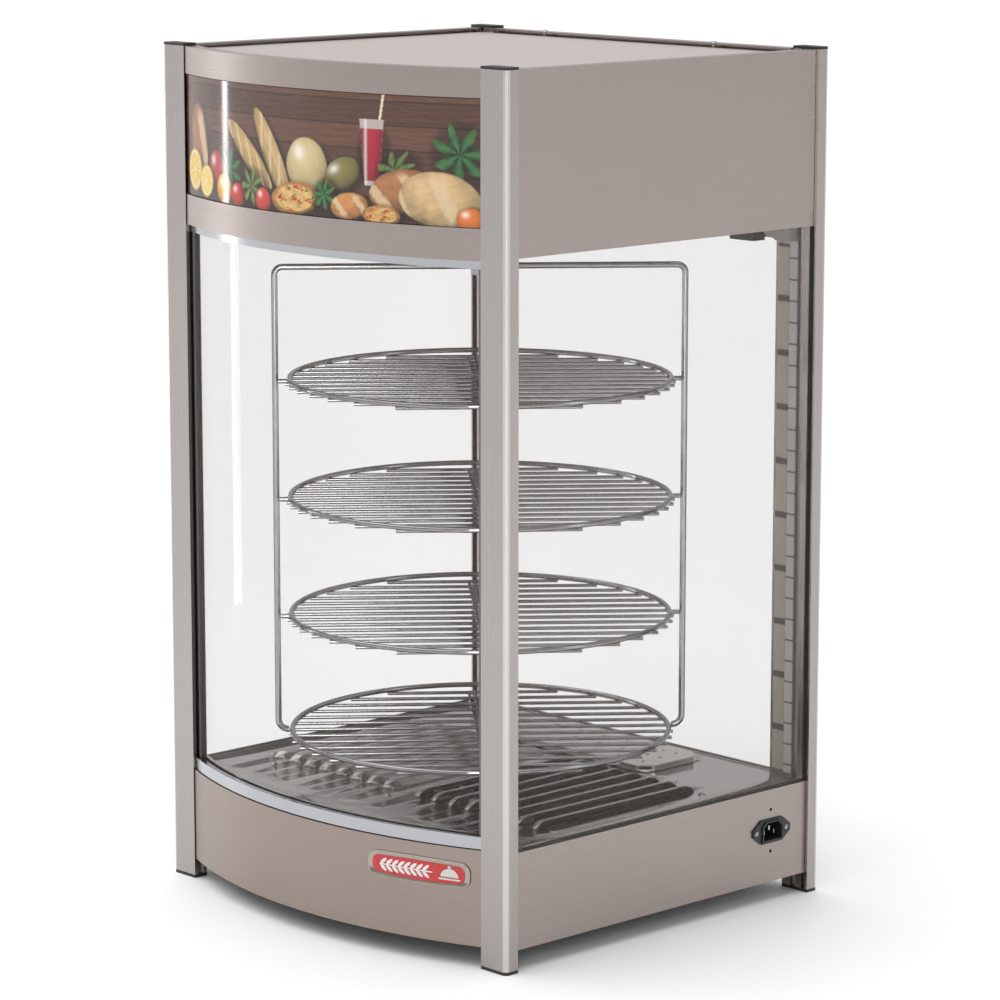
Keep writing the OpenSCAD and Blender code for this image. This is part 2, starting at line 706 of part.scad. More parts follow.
// Ring with straight wires welded under it, two cross wires, and stubs to the frame
module grid(level) color("silver") on_rack() translate([0, 0, grid_low + (4 - level) * grid_gap]) {
    under = -ring_d / 2 - wire_d / 2 + 0.5;
    rotate_extrude() translate([ring_r, 0]) circle(r = ring_d / 2, $fn = 40);
    for (i = [0 : wire_count - 1]) {
        off = (i - (wire_count - 1) / 2) * wire_pitch;
        reach = sqrt(ring_r * ring_r - off * off) + 4;
        translate([-reach, off, under]) rotate([0, 90, 0])
            cylinder(r = wire_d / 2, h = 2 * reach, $fn = 32);
    }
    for (x = [-3, 3]) translate([x, 0, under - wire_d + 0.5]) rotate([90, 0, 0])
        cylinder(r = wire_d / 2, h = 2 * ring_r - 8, center = true, $fn = 32);
    if (level < 4) for (side = [0, 1]) mirror([side, 0, 0])
        translate([ring_r - 1, 0, -2.5]) rotate([0, 90, 0])
            cylinder(r = 2.2, h = frame_half - rod_d / 2 - ring_r + 0.8, $fn = 32);
}
module grid_1() grid(1);
module grid_2() grid(2);
module grid_3() grid(3);
module grid_4() grid(4);

module drive_shaft() color("gray") on_rack() {
    translate([0, 0, frame_top - 1.9]) cylinder(r = shaft_r, h = bracket_z + 22 - frame_top);
    translate([0, 0, frame_top + 10]) rotate([90, 0, 0]) cylinder(r = 1.5, h = 24, center = true);
}

// ---------------------------------------------------------------- rear door

lug_h = 10;
lug_z = [door_low + 14, door_high - 14 - lug_h];

// The door is drawn with its hinges at +X and hung with them at -X
module hung() placed() mirror([1, 0, 0]) children();

module door_frame() color("silver") hung() difference() {
    union() {
        box([-door_half, door_front, door_low], [door_half, door_back, door_high]);
        for (z = lug_z) {
            box([pivot_x - 9, door_back - 1, z], [pivot_x - 1, pivot_y + 1, z + lug_h]);
            translate([pivot_x, pivot_y, z]) cylinder(r = 5, h = lug_h);
        }
    }
    box([-door_half + door_stile, door_front - 1, door_low + 10],
        [door_half - door_stile, door_back + 1, door_high - 10]);
    box([-door_half + 12, door_front + 3 - gap, door_low + 4],
        [door_half - 12, door_front + 3 + door_glass_t + gap, door_high - 3]);
    for (z = lug_z) translate([pivot_x, pivot_y, z - 1])
        cylinder(r = pivot_pin_r + run_fit, h = lug_h + 2);
}

module door_glass() color("lightblue", 0.3) hung()
    box([-door_half + 12 + gap, door_front + 3, door_low + 4 + gap],
        [door_half - 12 - gap, door_front + 3 + door_glass_t, door_high - 3 - gap]);

handle_z = [300, 400];
handle_x = -door_half + door_stile / 2;
module door_handle() color("silver") hung() translate([handle_x, 0, 0]) {
    for (z = handle_z) translate([0, door_back + 0.02, z]) rotate([-90, 0, 0]) {
        cylinder(r = 4, h = handle_reach - 5, $fn = 48);
        cylinder(r = 7, h = 2, $fn = 48);
    }
    translate([0, door_back + handle_reach - 5, handle_z[0] - 18])
        cylinder(r = 5, h = handle_z[1] - handle_z[0] + 36, $fn = 48);
}

// One bracket beyond each lug, fixed to a rear post, with its pin
bracket_x = pivot_x + 16;
module hinge_bracket() {
    translate([pivot_x, pivot_y, lug_h + 0.5]) cylinder(r = 5, h = 4);
    box([pivot_x, half_d + 0.9, lug_h + 0.5], [bracket_x, pivot_y + 4.4, lug_h + 4.5]);
    box([pivot_x + 7, half_d + 0.1, -18], [bracket_x, half_d + 2.6, lug_h + 4.5]);
    translate([pivot_x, pivot_y, 0.5]) cylinder(r = pivot_pin_r, h = lug_h + 2);
    for (z = [-13, -4]) translate([pivot_x + 11.5, half_d + 2.6, z]) rotate([-90, 0, 0]) screw(2.6, 1, 1);
}

module hinge_brackets() color("silver") hung() {
    translate([0, 0, lug_z[1]]) hinge_bracket();
    translate([0, 0, lug_z[0] + lug_h]) mirror([0, 0, 1]) hinge_bracket();
}

module door_catch() color("black") hung()
    box([-165, door_front - 16, door_high - 13], [-135, door_front - gap, ceiling_z - 0.02]);

// ---------------------------------------------------------------- assembly

post_front_left();
post_front_right();
post_rear_left();
post_rear_right();
post_top_caps();
post_feet();
front_fascia();
fascia_badge();
base_panel_left();
base_panel_right();
base_panel_rear();
bottom_plate();
floor_plate();
floor_screws();
front_glass();
glass_gaskets();
side_glass_left();
side_glass_right();
side_seals();
lower_glass_trim();
upper_glass_trim();
header_top_strip();
header_lower_strip();
graphic_panel();
header_panel_left();
header_panel_right();
header_panel_rear();
top_cover();
case_screws();
ceiling_plate();
shaft_bush();
gear_motor();
motor_bracket();
backlight_bar();
interior_lamp();
led_strips();
strip_blocks();
water_pan();
pan_lid();
heater_elements();
fan_motor();
fan_impeller();
thermostat_body();
thermostat_knob();
switch_housings();
power_rocker();
light_rocker();
inlet_body();
inlet_pins();
rack_frame();
grid_1();
grid_2();
grid_3();
grid_4();
drive_shaft();
door_frame();
door_glass();
door_handle();
hinge_brackets();
door_catch();
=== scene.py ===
"""Looks of a hot food display case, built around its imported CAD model.

Every length is in metres, in the case's own frame: X across, -Y the bowed front, Z up.
"""

import math

import bpy
import numpy as np
from bpy.props import FloatProperty, FloatVectorProperty, IntProperty, PointerProperty
from mathutils import Matrix, Vector


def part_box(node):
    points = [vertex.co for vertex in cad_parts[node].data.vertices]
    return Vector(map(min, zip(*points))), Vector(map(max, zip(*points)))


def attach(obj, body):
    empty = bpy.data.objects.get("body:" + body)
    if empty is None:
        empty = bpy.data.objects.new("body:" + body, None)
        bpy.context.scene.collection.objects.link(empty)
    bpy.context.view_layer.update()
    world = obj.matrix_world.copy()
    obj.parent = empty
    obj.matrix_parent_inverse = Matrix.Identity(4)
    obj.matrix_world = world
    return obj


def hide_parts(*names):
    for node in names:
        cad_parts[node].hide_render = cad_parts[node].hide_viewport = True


bl_info = {
    "name": "Hot food display case",
    "version": (1, 0, 0),
    "blender": (4, 5, 0),
    "location": "View3D > Sidebar > Display case",
    "description": "Finishes and detailed pieces of a heated display case with a turning rack",
    "category": "Object",
}

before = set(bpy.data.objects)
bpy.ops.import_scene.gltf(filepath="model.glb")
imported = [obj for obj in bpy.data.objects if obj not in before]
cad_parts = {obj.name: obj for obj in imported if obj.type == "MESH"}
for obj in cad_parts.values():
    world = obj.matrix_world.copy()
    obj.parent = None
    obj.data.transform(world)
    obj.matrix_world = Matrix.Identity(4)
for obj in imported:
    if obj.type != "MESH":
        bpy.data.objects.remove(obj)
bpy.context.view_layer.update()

MM = 0.001

# The bowed front is one arc that meets the front posts just behind their faces
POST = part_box("post_front_right")
CASE_MIDDLE_Y = (POST[0].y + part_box("post_rear_right")[1].y) / 2
POST_CORNER_R = 4.3 * MM
CORNER_REACH = POST[1].x + CASE_MIDDLE_Y - POST[0].y
BOW_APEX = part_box("front_fascia")[0].y
BOW_INSET = 1.25 * MM
BOW_RISE = POST[0].y + BOW_INSET - BOW_APEX
BOW_R = (POST[0].x ** 2 + BOW_RISE ** 2) / (2 * BOW_RISE)
BOW_Y = BOW_APEX + BOW_R


# ------------------------------------------------------------------ mesh helpers

def grid_faces(rows, cols):
    """Quads of a rows by cols grid of points, row after row, facing along rows x columns."""
    r, c = np.meshgrid(np.arange(rows - 1), np.arange(cols - 1), indexing="ij")
    a = (r * cols + c).ravel()
    return np.stack([a, a + cols, a + cols + 1, a + 1], 1)


def make_piece(name, points, faces, body, slot, material, smooth=True):
    """A mesh piece from arrays of points (n, 3) and faces, riding on a body."""
    mesh = bpy.data.meshes.new(name)
    mesh.from_pydata(np.asarray(points, float).tolist(), [], [list(map(int, f)) for f in faces])
    mesh.validate()
    mesh.update()
    mesh.polygons.foreach_set("use_smooth", np.full(len(mesh.polygons), smooth))
    piece = bpy.data.objects.new(name, mesh)
    bpy.context.scene.collection.objects.link(piece)
    piece.data.materials.append(material)
    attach(piece, body)
    return piece


def join_parts(parts):
    """One array of points and one list of faces from (points, faces) pairs."""
    points, faces, count = [], [], 0
    for part_points, part_faces in parts:
        points.append(np.asarray(part_points, float))
        faces.extend([[int(i) + count for i in f] for f in part_faces])
        count += len(part_points)
    return np.concatenate(points), faces


def solidify(piece, thickness):
    """Gives a sheet its thickness, inwards from its outer face."""
    wall = piece.modifiers.new("Wall", "SOLIDIFY")
    wall.thickness = thickness
    wall.offset = -1.0
    wall.use_even_offset = True


def bent(s, z, d):
    """Points on the bowed front: s is the arc length from the middle, d the height above the arc."""
    angle = np.asarray(s, float) / BOW_R
    r = BOW_R + d
    return np.stack([r * np.sin(angle), BOW_Y - r * np.cos(angle), np.broadcast_to(z, angle.shape)], -1)


# ------------------------------------------------------------------ material helpers

def material_nodes(name):
    """A new material, its nodes, its links and its Principled shader."""
    material = bpy.data.materials.new(name)
    material.use_nodes = True
    nodes, links = material.node_tree.nodes, material.node_tree.links
    return material, nodes, links, nodes["Principled BSDF"]


def object_noise(nodes, links, scale, detail=4.0, roughness=0.6, stretch=(1, 1, 1)):
    """Noise on Object coordinates, stretched by a Mapping node. Returns its factor socket."""
    place = nodes.new("ShaderNodeTexCoord")
    mapping = nodes.new("ShaderNodeMapping")
    mapping.inputs["Scale"].default_value = stretch
    noise = nodes.new("ShaderNodeTexNoise")
    noise.inputs["Scale"].default_value = scale
    noise.inputs["Detail"].default_value = detail
    noise.inputs["Roughness"].default_value = roughness
    links.new(place.outputs["Object"], mapping.inputs["Vector"])
    links.new(mapping.outputs["Vector"], noise.inputs["Vector"])
    return noise.outputs["Fac"]


def ramp(nodes, links, factor, stops):
    """Colour ramp over a factor: stops are (position, colour) pairs."""
    node = nodes.new("ShaderNodeValToRGB")
    while len(node.color_ramp.elements) < len(stops):
        node.color_ramp.elements.new(0.5)
    for element, (position, colour) in zip(node.color_ramp.elements, stops):
        element.position = position
        element.color = (*colour[:3], 1)
    links.new(factor, node.inputs["Fac"])
    return node.outputs["Color"]


def spread(nodes, links, factor, low, high, to_low, to_high):
    """Map Range of a factor."""
    node = nodes.new("ShaderNodeMapRange")
    for socket, value in zip(("From Min", "From Max", "To Min", "To Max"), (low, high, to_low, to_high)):
        node.inputs[socket].default_value = value
    links.new(factor, node.inputs["Value"])
    return node.outputs["Result"]


def bump(nodes, links, shader, factor, strength, distance):
    """Bump from a factor into a shader's normal."""
    node = nodes.new("ShaderNodeBump")
    node.inputs["Strength"].default_value = strength
    node.inputs["Distance"].default_value = distance
    links.new(factor, node.inputs["Height"])
    links.new(node.outputs["Normal"], shader.inputs["Normal"])


def shade(colour, k):
    """A colour times k."""
    return [min(1.0, c * k) for c in colour[:3]]


def grained_metal(name, colour, stretch, contrast=0.04, rough=(0.26, 0.34), grain=1.0, strength=0.05,
                  streak=0.0):
    """Brushed, rolled or extruded metal: fine lines along one direction and slow stains over them."""
    material, nodes, links, shader = material_nodes(name)
    lines = object_noise(nodes, links, grain, detail=6.0, roughness=0.72, stretch=stretch)
    tint = ramp(nodes, links, lines, [
        (0.30, shade(colour, 1 - contrast)), (0.52, colour), (0.72, shade(colour, 1 + contrast))])
    stain = object_noise(nodes, links, 7.0, detail=3.0, roughness=0.5)
    mix = nodes.new("ShaderNodeMix")
    mix.data_type = "RGBA"
    mix.blend_type = "MULTIPLY"
    mix.inputs["Factor"].default_value = 0.35
    links.new(tint, mix.inputs["A"])
    links.new(ramp(nodes, links, stain, [(0.35, (0.93, 0.93, 0.93)), (0.62, (1, 1, 1))]), mix.inputs["B"])
    links.new(mix.outputs["Result"], shader.inputs["Base Color"])
    links.new(spread(nodes, links, lines, 0.3, 0.7, *rough), shader.inputs["Roughness"])
    shader.inputs["Metallic"].default_value = 1.0
    shader.inputs["Anisotropic"].default_value = streak
    bump(nodes, links, shader, lines, strength, 0.00005)
    return material


def moulded(name, colour, rough=(0.42, 0.55), grain=1800.0, strength=0.15, coat=0.0):
    """Moulded plastic or rubber: a fine spark texture with slight colour variation."""
    material, nodes, links, shader = material_nodes(name)
    spark = object_noise(nodes, links, grain, detail=2.0)
    stain = object_noise(nodes, links, 30.0, detail=3.0)
    links.new(ramp(nodes, links, stain, [(0.3, shade(colour, 0.85)), (0.7, shade(colour, 1.12))]),
              shader.inputs["Base Color"])
    links.new(spread(nodes, links, spark, 0.3, 0.7, *rough), shader.inputs["Roughness"])
    shader.inputs["Coat Weight"].default_value = coat
    bump(nodes, links, shader, spark, strength, 0.00004)
    return material


def polished(name, colour, rough=(0.06, 0.16), rim=0.45):
    """Plated or polished metal with a light haze, and painted shade that darkens its colour where it turns
    away from the view.
    """
    material, nodes, links, shader = material_nodes(name)
    haze = object_noise(nodes, links, 60.0, detail=4.0)
    glance = nodes.new("ShaderNodeLayerWeight")
    glance.inputs["Blend"].default_value = 0.5
    mix = nodes.new("ShaderNodeMix")
    mix.data_type = "RGBA"
    mix.blend_type = "MULTIPLY"
    mix.inputs["Factor"].default_value = 1.0
    links.new(ramp(nodes, links, haze, [(0.3, shade(colour, 0.90)), (0.7, shade(colour, 1.04))]),
              mix.inputs["A"])
    # Painted shade: the colour falls to rim, then to 0.9 rim, as the surface turns edge-on to the view
    turned, painted_side_shade = (rim,) * 3, (0.9 * rim,) * 3
    painted_edge_shade = ramp(nodes, links, glance.outputs["Facing"], [(0.2, (1, 1, 1)), (0.65, turned), (1.0, painted_side_shade)])
    links.new(painted_edge_shade, mix.inputs["B"])
    links.new(mix.outputs["Result"], shader.inputs["Base Color"])
    links.new(spread(nodes, links, haze, 0.3, 0.7, *rough), shader.inputs["Roughness"])
    shader.inputs["Metallic"].default_value = 1.0
    return material


def pane(name, colour, alpha, edge_alpha):
    """Clear tempered glass: nearly unseen face on, stronger at a glancing angle, with faint smears."""
    material, nodes, links, shader = material_nodes(name)
    smear = object_noise(nodes, links, 9.0, detail=5.0, roughness=0.65)
    links.new(ramp(nodes, links, smear, [(0.35, shade(colour, 0.97)), (0.65, colour)]),
              shader.inputs["Base Color"])
    links.new(spread(nodes, links, smear, 0.3, 0.7, 0.015, 0.05), shader.inputs["Roughness"])
    glance = nodes.new("ShaderNodeLayerWeight")
    glance.inputs["Blend"].default_value = 0.3
    links.new(spread(nodes, links, glance.outputs["Facing"], 0.0, 1.0, alpha, edge_alpha),
              shader.inputs["Alpha"])
    shader.inputs["IOR"].default_value = 1.5
    shader.inputs["Specular IOR Level"].default_value = 0.9
    return material


def seal_rubber(name, low, high):
    """Black rubber below a height and grey silicone above another."""
    material, nodes, links, shader = material_nodes(name)
    place = nodes.new("ShaderNodeTexCoord")
    split = nodes.new("ShaderNodeSeparateXYZ")
    links.new(place.outputs["Object"], split.inputs["Vector"])
    rise = spread(nodes, links, split.outputs["Z"], low, high, 0.0, 1.0)
    links.new(ramp(nodes, links, rise, [(0.0, (0.012, 0.012, 0.013)), (1.0, (0.13, 0.125, 0.12))]),
              shader.inputs["Base Color"])
    grain = object_noise(nodes, links, 1500.0, detail=2.0)
    links.new(spread(nodes, links, grain, 0.3, 0.7, 0.45, 0.6), shader.inputs["Roughness"])
    return material


def lip_highlight_metal(name, colour, painted_highlight_colour, rough=(0.16, 0.24)):
    """Pressed metal whose edge, marked by the attribute lip, carries a painted highlight brighter than its
    skin.
    """
    material, nodes, links, shader = material_nodes(name)
    lip = nodes.new("ShaderNodeAttribute")
    lip.attribute_name = "lip"
    skin = object_noise(nodes, links, 40.0, detail=4.0)
    mix = nodes.new("ShaderNodeMix")
    mix.data_type = "RGBA"
    links.new(lip.outputs["Fac"], mix.inputs["Factor"])
    links.new(ramp(nodes, links, skin, [(0.3, shade(colour, 0.8)), (0.7, shade(colour, 1.15))]),
              mix.inputs["A"])
    # Painted highlight on the louvre's lip
    mix.inputs["B"].default_value = (*painted_highlight_colour, 1)
    links.new(mix.outputs["Result"], shader.inputs["Base Color"])
    links.new(spread(nodes, links, skin, 0.3, 0.7, *rough), shader.inputs["Roughness"])
    shader.inputs["Metallic"].default_value = 1.0
    return material


def painted_corner_highlight(material, colour):
    """Paints a highlight into a metal's colour on the posts' rounded corners, where |x| + |y| from the middle
    is largest.
    """
    nodes, links = material.node_tree.nodes, material.node_tree.links
    skin = nodes["Principled BSDF"].inputs["Base Color"]
    place = nodes.new("ShaderNodeTexCoord")
    shift = nodes.new("ShaderNodeVectorMath")
    shift.operation = "SUBTRACT"
    shift.inputs[1].default_value = (0, CASE_MIDDLE_Y, 0)
    links.new(place.outputs["Object"], shift.inputs[0])
    fold = nodes.new("ShaderNodeVectorMath")
    fold.operation = "ABSOLUTE"
    links.new(shift.outputs["Vector"], fold.inputs[0])
    total = nodes.new("ShaderNodeVectorMath")
    total.operation = "DOT_PRODUCT"
    total.inputs[1].default_value = (1, 1, 0)
    links.new(fold.outputs["Vector"], total.inputs[0])
    near = spread(nodes, links, total.outputs["Value"], CORNER_REACH - 1.05 * POST_CORNER_R,
                  CORNER_REACH - 0.9 * POST_CORNER_R, 0.0, 1.0)
    mix = nodes.new("ShaderNodeMix")
    mix.data_type = "RGBA"
    links.new(near, mix.inputs["Factor"])
    links.new(skin.links[0].from_socket, mix.inputs["A"])
    mix.inputs["B"].default_value = (*colour, 1)
    links.new(mix.outputs["Result"], skin)


def ticked(name, colour, mark, pitch, width):
    """Plastic strip with a dark cross mark at every pitch of height."""
    material, nodes, links, shader = material_nodes(name)
    place = nodes.new("ShaderNodeTexCoord")
    split = nodes.new("ShaderNodeSeparateXYZ")
    links.new(place.outputs["Object"], split.inputs["Vector"])
    wrap = nodes.new("ShaderNodeMath")
    wrap.operation = "PINGPONG"
    wrap.inputs[1].default_value = pitch / 2
    links.new(split.outputs["Z"], wrap.inputs[0])
    near = spread(nodes, links, wrap.outputs["Value"], width * 0.4, width * 0.7, 0.0, 1.0)
    links.new(ramp(nodes, links, near, [(0.0, mark), (1.0, colour)]), shader.inputs["Base Color"])
    grain = object_noise(nodes, links, 900.0, detail=2.0)
    links.new(spread(nodes, links, grain, 0.3, 0.7, 0.3, 0.45), shader.inputs["Roughness"])
    return material


def enamelled(name, colour, rough=(0.1, 0.18)):
    """Smooth fired enamel under a clear coat."""
    material, nodes, links, shader = material_nodes(name)
    ripple = object_noise(nodes, links, 220.0, detail=2.0)
    links.new(ramp(nodes, links, ripple, [(0.3, shade(colour, 0.9)), (0.7, shade(colour, 1.05))]),
              shader.inputs["Base Color"])
    links.new(spread(nodes, links, ripple, 0.3, 0.7, *rough), shader.inputs["Roughness"])
    shader.inputs["Coat Weight"].default_value = 0.4
    return material


def paint(nodes_and_material):
    """Gives CAD nodes their materials: {node: material}."""
    for node, material in nodes_and_material.items():
        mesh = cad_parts[node].data
        mesh.materials.clear()
        mesh.materials.append(material)


# ------------------------------------------------------------------ settings

class CaseLooks(bpy.types.PropertyGroup):
    """Colours and sizes of the case's finishes and detailed pieces"""

    sheet_colour: FloatVectorProperty(
        name="Panels", description="Brushed stainless panels", subtype="COLOR",
        size=3, min=0, max=1, default=(0.365, 0.315, 0.295))
    # Painted shade: a darker, warmer copy of the panels' stainless, for the darker reflection on the fascia
    fascia_shaded_colour: FloatVectorProperty(
        name="Fascia", description="Brushed stainless of the bowed fascia", subtype="COLOR",
        size=3, min=0, max=1, default=(0.325, 0.268, 0.236))
    cover_colour: FloatVectorProperty(
        name="Top cover", description="Pale satin top cover", subtype="COLOR",
        size=3, min=0, max=1, default=(0.60, 0.535, 0.505))
    post_colour: FloatVectorProperty(
        name="Posts", description="Satin anodised posts and door frame", subtype="COLOR",
        size=3, min=0, max=1, default=(0.40, 0.37, 0.355))
    floor_colour: FloatVectorProperty(
        name="Chamber floor", description="Bright rolled stainless floor", subtype="COLOR",
        size=3, min=0, max=1, default=(0.40, 0.38, 0.365))
    trim_colour: FloatVectorProperty(
        name="Glass trims", description="Bright trims at the bowed glass", subtype="COLOR",
        size=3, min=0, max=1, default=(0.44, 0.445, 0.465))
    chrome_colour: FloatVectorProperty(
        name="Rack", description="Chrome plated rods", subtype="COLOR",
        size=3, min=0, max=1, default=(0.40, 0.398, 0.40))
    badge_colour: FloatVectorProperty(
        name="Badge field", description="Red enamel of the badge", subtype="COLOR",
        size=3, min=0, max=1, default=(0.50, 0.012, 0.016))
    louvre_count: IntProperty(
        name="Louvres", description="Louvres in each vent", default=8, min=2, max=8)
    louvre_pitch: FloatProperty(
        name="Louvre pitch", description="Distance between louvres", default=22.5 * MM, unit="LENGTH")
    louvre_height: FloatProperty(
        name="Louvre height", description="Height of a louvre's lip", default=6.5 * MM, unit="LENGTH")
    picture_step: FloatProperty(
        name="Picture grain", description="Size of a dot of the header's picture",
        default=0.8 * MM, unit="LENGTH")


def looks():
    """The scene's settings."""
    return bpy.context.scene.case_looks


# ------------------------------------------------------------------ finishes of the CAD nodes

HORIZONTAL = (2.0, 2.0, 1500.0)
VERTICAL = (900.0, 900.0, 1.5)
ALONG_X = (2.0, 1400.0, 1400.0)


class CASE_OT_finish_panels(bpy.types.Operator):
    """Brushed stainless on the base and header panels, a darker copy of it as painted shade on the fascia,
    pale satin on the cover
    """
    bl_idname = "case.finish_panels"
    bl_label = "Finish the panels"

    def execute(self, context):
        sheet = grained_metal("brushed_stainless", looks().sheet_colour, HORIZONTAL, streak=0.6)
        # Painted shade: the fascia's stainless is a darker copy of the panels' sheet
        fascia = grained_metal("fascia_shaded_stainless", looks().fascia_shaded_colour, HORIZONTAL, streak=0.6)
        lid = grained_metal("lid_sheet", shade(looks().floor_colour, 1.4), ALONG_X, rough=(0.24, 0.34))
        cover = grained_metal("cover_sheet", looks().cover_colour, ALONG_X, rough=(0.34, 0.46))
        # Painted shade: the zinc plate is darkened well below bare zinc, for the shade inside the base
        shaded_zinc = grained_metal("zinc_plate", (0.16, 0.155, 0.15), ALONG_X, contrast=0.14, rough=(0.4, 0.6))
        rolled = grained_metal("rolled_stainless", looks().floor_colour, ALONG_X, rough=(0.16, 0.26))
        paint({node: sheet for node in (
            "base_panel_left", "base_panel_right", "base_panel_rear", "header_top_strip",
            "header_lower_strip", "header_panel_left", "header_panel_right", "header_panel_rear")})
        paint({"front_fascia": fascia, "top_cover": cover, "bottom_plate": shaded_zinc, "motor_bracket": shaded_zinc,
               "hinge_brackets": shaded_zinc, "ceiling_plate": rolled, "water_pan": rolled, "pan_lid": lid})
        return {"FINISHED"}


class CASE_OT_finish_posts(bpy.types.Operator):
    """Satin anodised extrusions with a painted highlight on their rounded corners, with black caps and feet
    """
    bl_idname = "case.finish_posts"
    bl_label = "Finish the posts"

    def execute(self, context):
        satin = grained_metal("satin_extrusion", looks().post_colour, VERTICAL, rough=(0.22, 0.3))
        # Painted highlight: the posts' rounded corners are brightened in the colour
        painted_corner_highlight(satin, (0.56, 0.535, 0.515))
        black = moulded("black_moulding", (0.012, 0.011, 0.011))
        paint({node: satin for node in (
            "post_front_left", "post_front_right", "post_rear_left", "post_rear_right", "door_frame")})
        paint({"post_top_caps": black, "post_feet": black, "door_catch": black, "thermostat_body": black})
        return {"FINISHED"}


class CASE_OT_finish_glass(bpy.types.Operator):
    """Clear tempered glass, bright trims and black seals"""
    bl_idname = "case.finish_glass"
    bl_label = "Finish the glass"

    def execute(self, context):
        clear = pane("clear_glass", (0.24, 0.20, 0.17), 0.06, 0.20)
        trim = grained_metal("bright_trim", looks().trim_colour, HORIZONTAL, rough=(0.12, 0.2))
        rubber = moulded("black_rubber", (0.014, 0.014, 0.015), rough=(0.6, 0.75))
        trim_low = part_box("lower_glass_trim")[0]
        paint({"front_glass": clear, "side_glass_left": clear, "side_glass_right": clear, "door_glass": clear,
               "lower_glass_trim": trim, "upper_glass_trim": trim,
               "glass_gaskets": seal_rubber("gasket_rubber", trim_low.z + 5 * MM, trim_low.z + 8 * MM),
               "side_seals": rubber})
        return {"FINISHED"}


class CASE_OT_finish_rack(bpy.types.Operator):
    """Chrome plated rods and grids, and the plain shaft"""
    bl_idname = "case.finish_rack"
    bl_label = "Finish the rack"

    def execute(self, context):
        chrome = polished("chrome_rod", looks().chrome_colour)
        paint({node: chrome for node in (
            "rack_frame", "grid_1", "grid_2", "grid_3", "grid_4", "door_handle")})
        paint({"drive_shaft": polished("ground_steel", (0.42, 0.42, 0.43), rough=(0.15, 0.3))})
        return {"FINISHED"}


class CASE_OT_finish_fittings(bpy.types.Operator):
    """Screws, motors, lamps, switches and the power inlet"""
    bl_idname = "case.finish_fittings"
    bl_label = "Finish the fittings"

    def execute(self, context):
        screw = polished("screw_steel", (0.45, 0.45, 0.46), rough=(0.2, 0.4))
        enamel = moulded("motor_enamel", (0.045, 0.05, 0.055), rough=(0.3, 0.5), strength=0.3)
        gloss = moulded("black_gloss", (0.012, 0.012, 0.013), rough=(0.18, 0.3), coat=0.2)
        inlet = moulded("inlet_plastic", (0.014, 0.014, 0.015), rough=(0.3, 0.42))
        paint({"floor_screws": screw, "case_screws": screw})
        paint({"gear_motor": enamel, "fan_motor": enamel, "thermostat_knob": gloss, "switch_housings": gloss,
               "inlet_body": inlet,
               "inlet_pins": polished("nickel_pin", (0.60, 0.58, 0.52), rough=(0.15, 0.3)),
               "fan_impeller": grained_metal("pressed_aluminium", (0.55, 0.56, 0.57), ALONG_X),
               "shaft_bush": grained_metal("sintered_bronze", (0.45, 0.27, 0.12), (300, 300, 300)),
               "heater_elements": grained_metal("oxidised_sheath", (0.10, 0.09, 0.085), (40, 40, 40),
                                                contrast=0.3, rough=(0.4, 0.7)),
               "power_rocker": moulded("red_rocker", (0.42, 0.02, 0.015), rough=(0.15, 0.25), coat=0.4),
               "light_rocker": moulded("white_rocker", (0.72, 0.71, 0.68), rough=(0.2, 0.3), coat=0.3),
               "backlight_bar": moulded("lamp_white", (0.86, 0.85, 0.80), rough=(0.3, 0.4)),
               "interior_lamp": moulded("lamp_diffuser", (0.80, 0.78, 0.73), rough=(0.2, 0.3), coat=0.3),
               "strip_blocks": moulded("block_resin", (0.30, 0.285, 0.26), rough=(0.3, 0.45)),
               "led_strips": ticked("strip_resin", (0.44, 0.43, 0.415), (0.12, 0.115, 0.11),
                                    20 * MM, 1.6 * MM)})
        return {"FINISHED"}


# ------------------------------------------------------------------ chamber floor

FLOOR_WALL = 1.2 * MM
HOOD_WALL = 0.8 * MM
SHADE_SHEET_WALL = 0.2 * MM
HOOD_ARCH_R = 20 * MM
SLOT_END = 6 * MM
SLOT_W = 12 * MM
PAN_RIM = 6 * MM
FLOOR_FRONT_INSET = 14.3 * MM
POST_GAP = 0.3 * MM
FIRST_LOUVRE_X = 26 * MM
VENT_Y = (CASE_MIDDLE_Y - 119 * MM, CASE_MIDDLE_Y + 85 * MM)


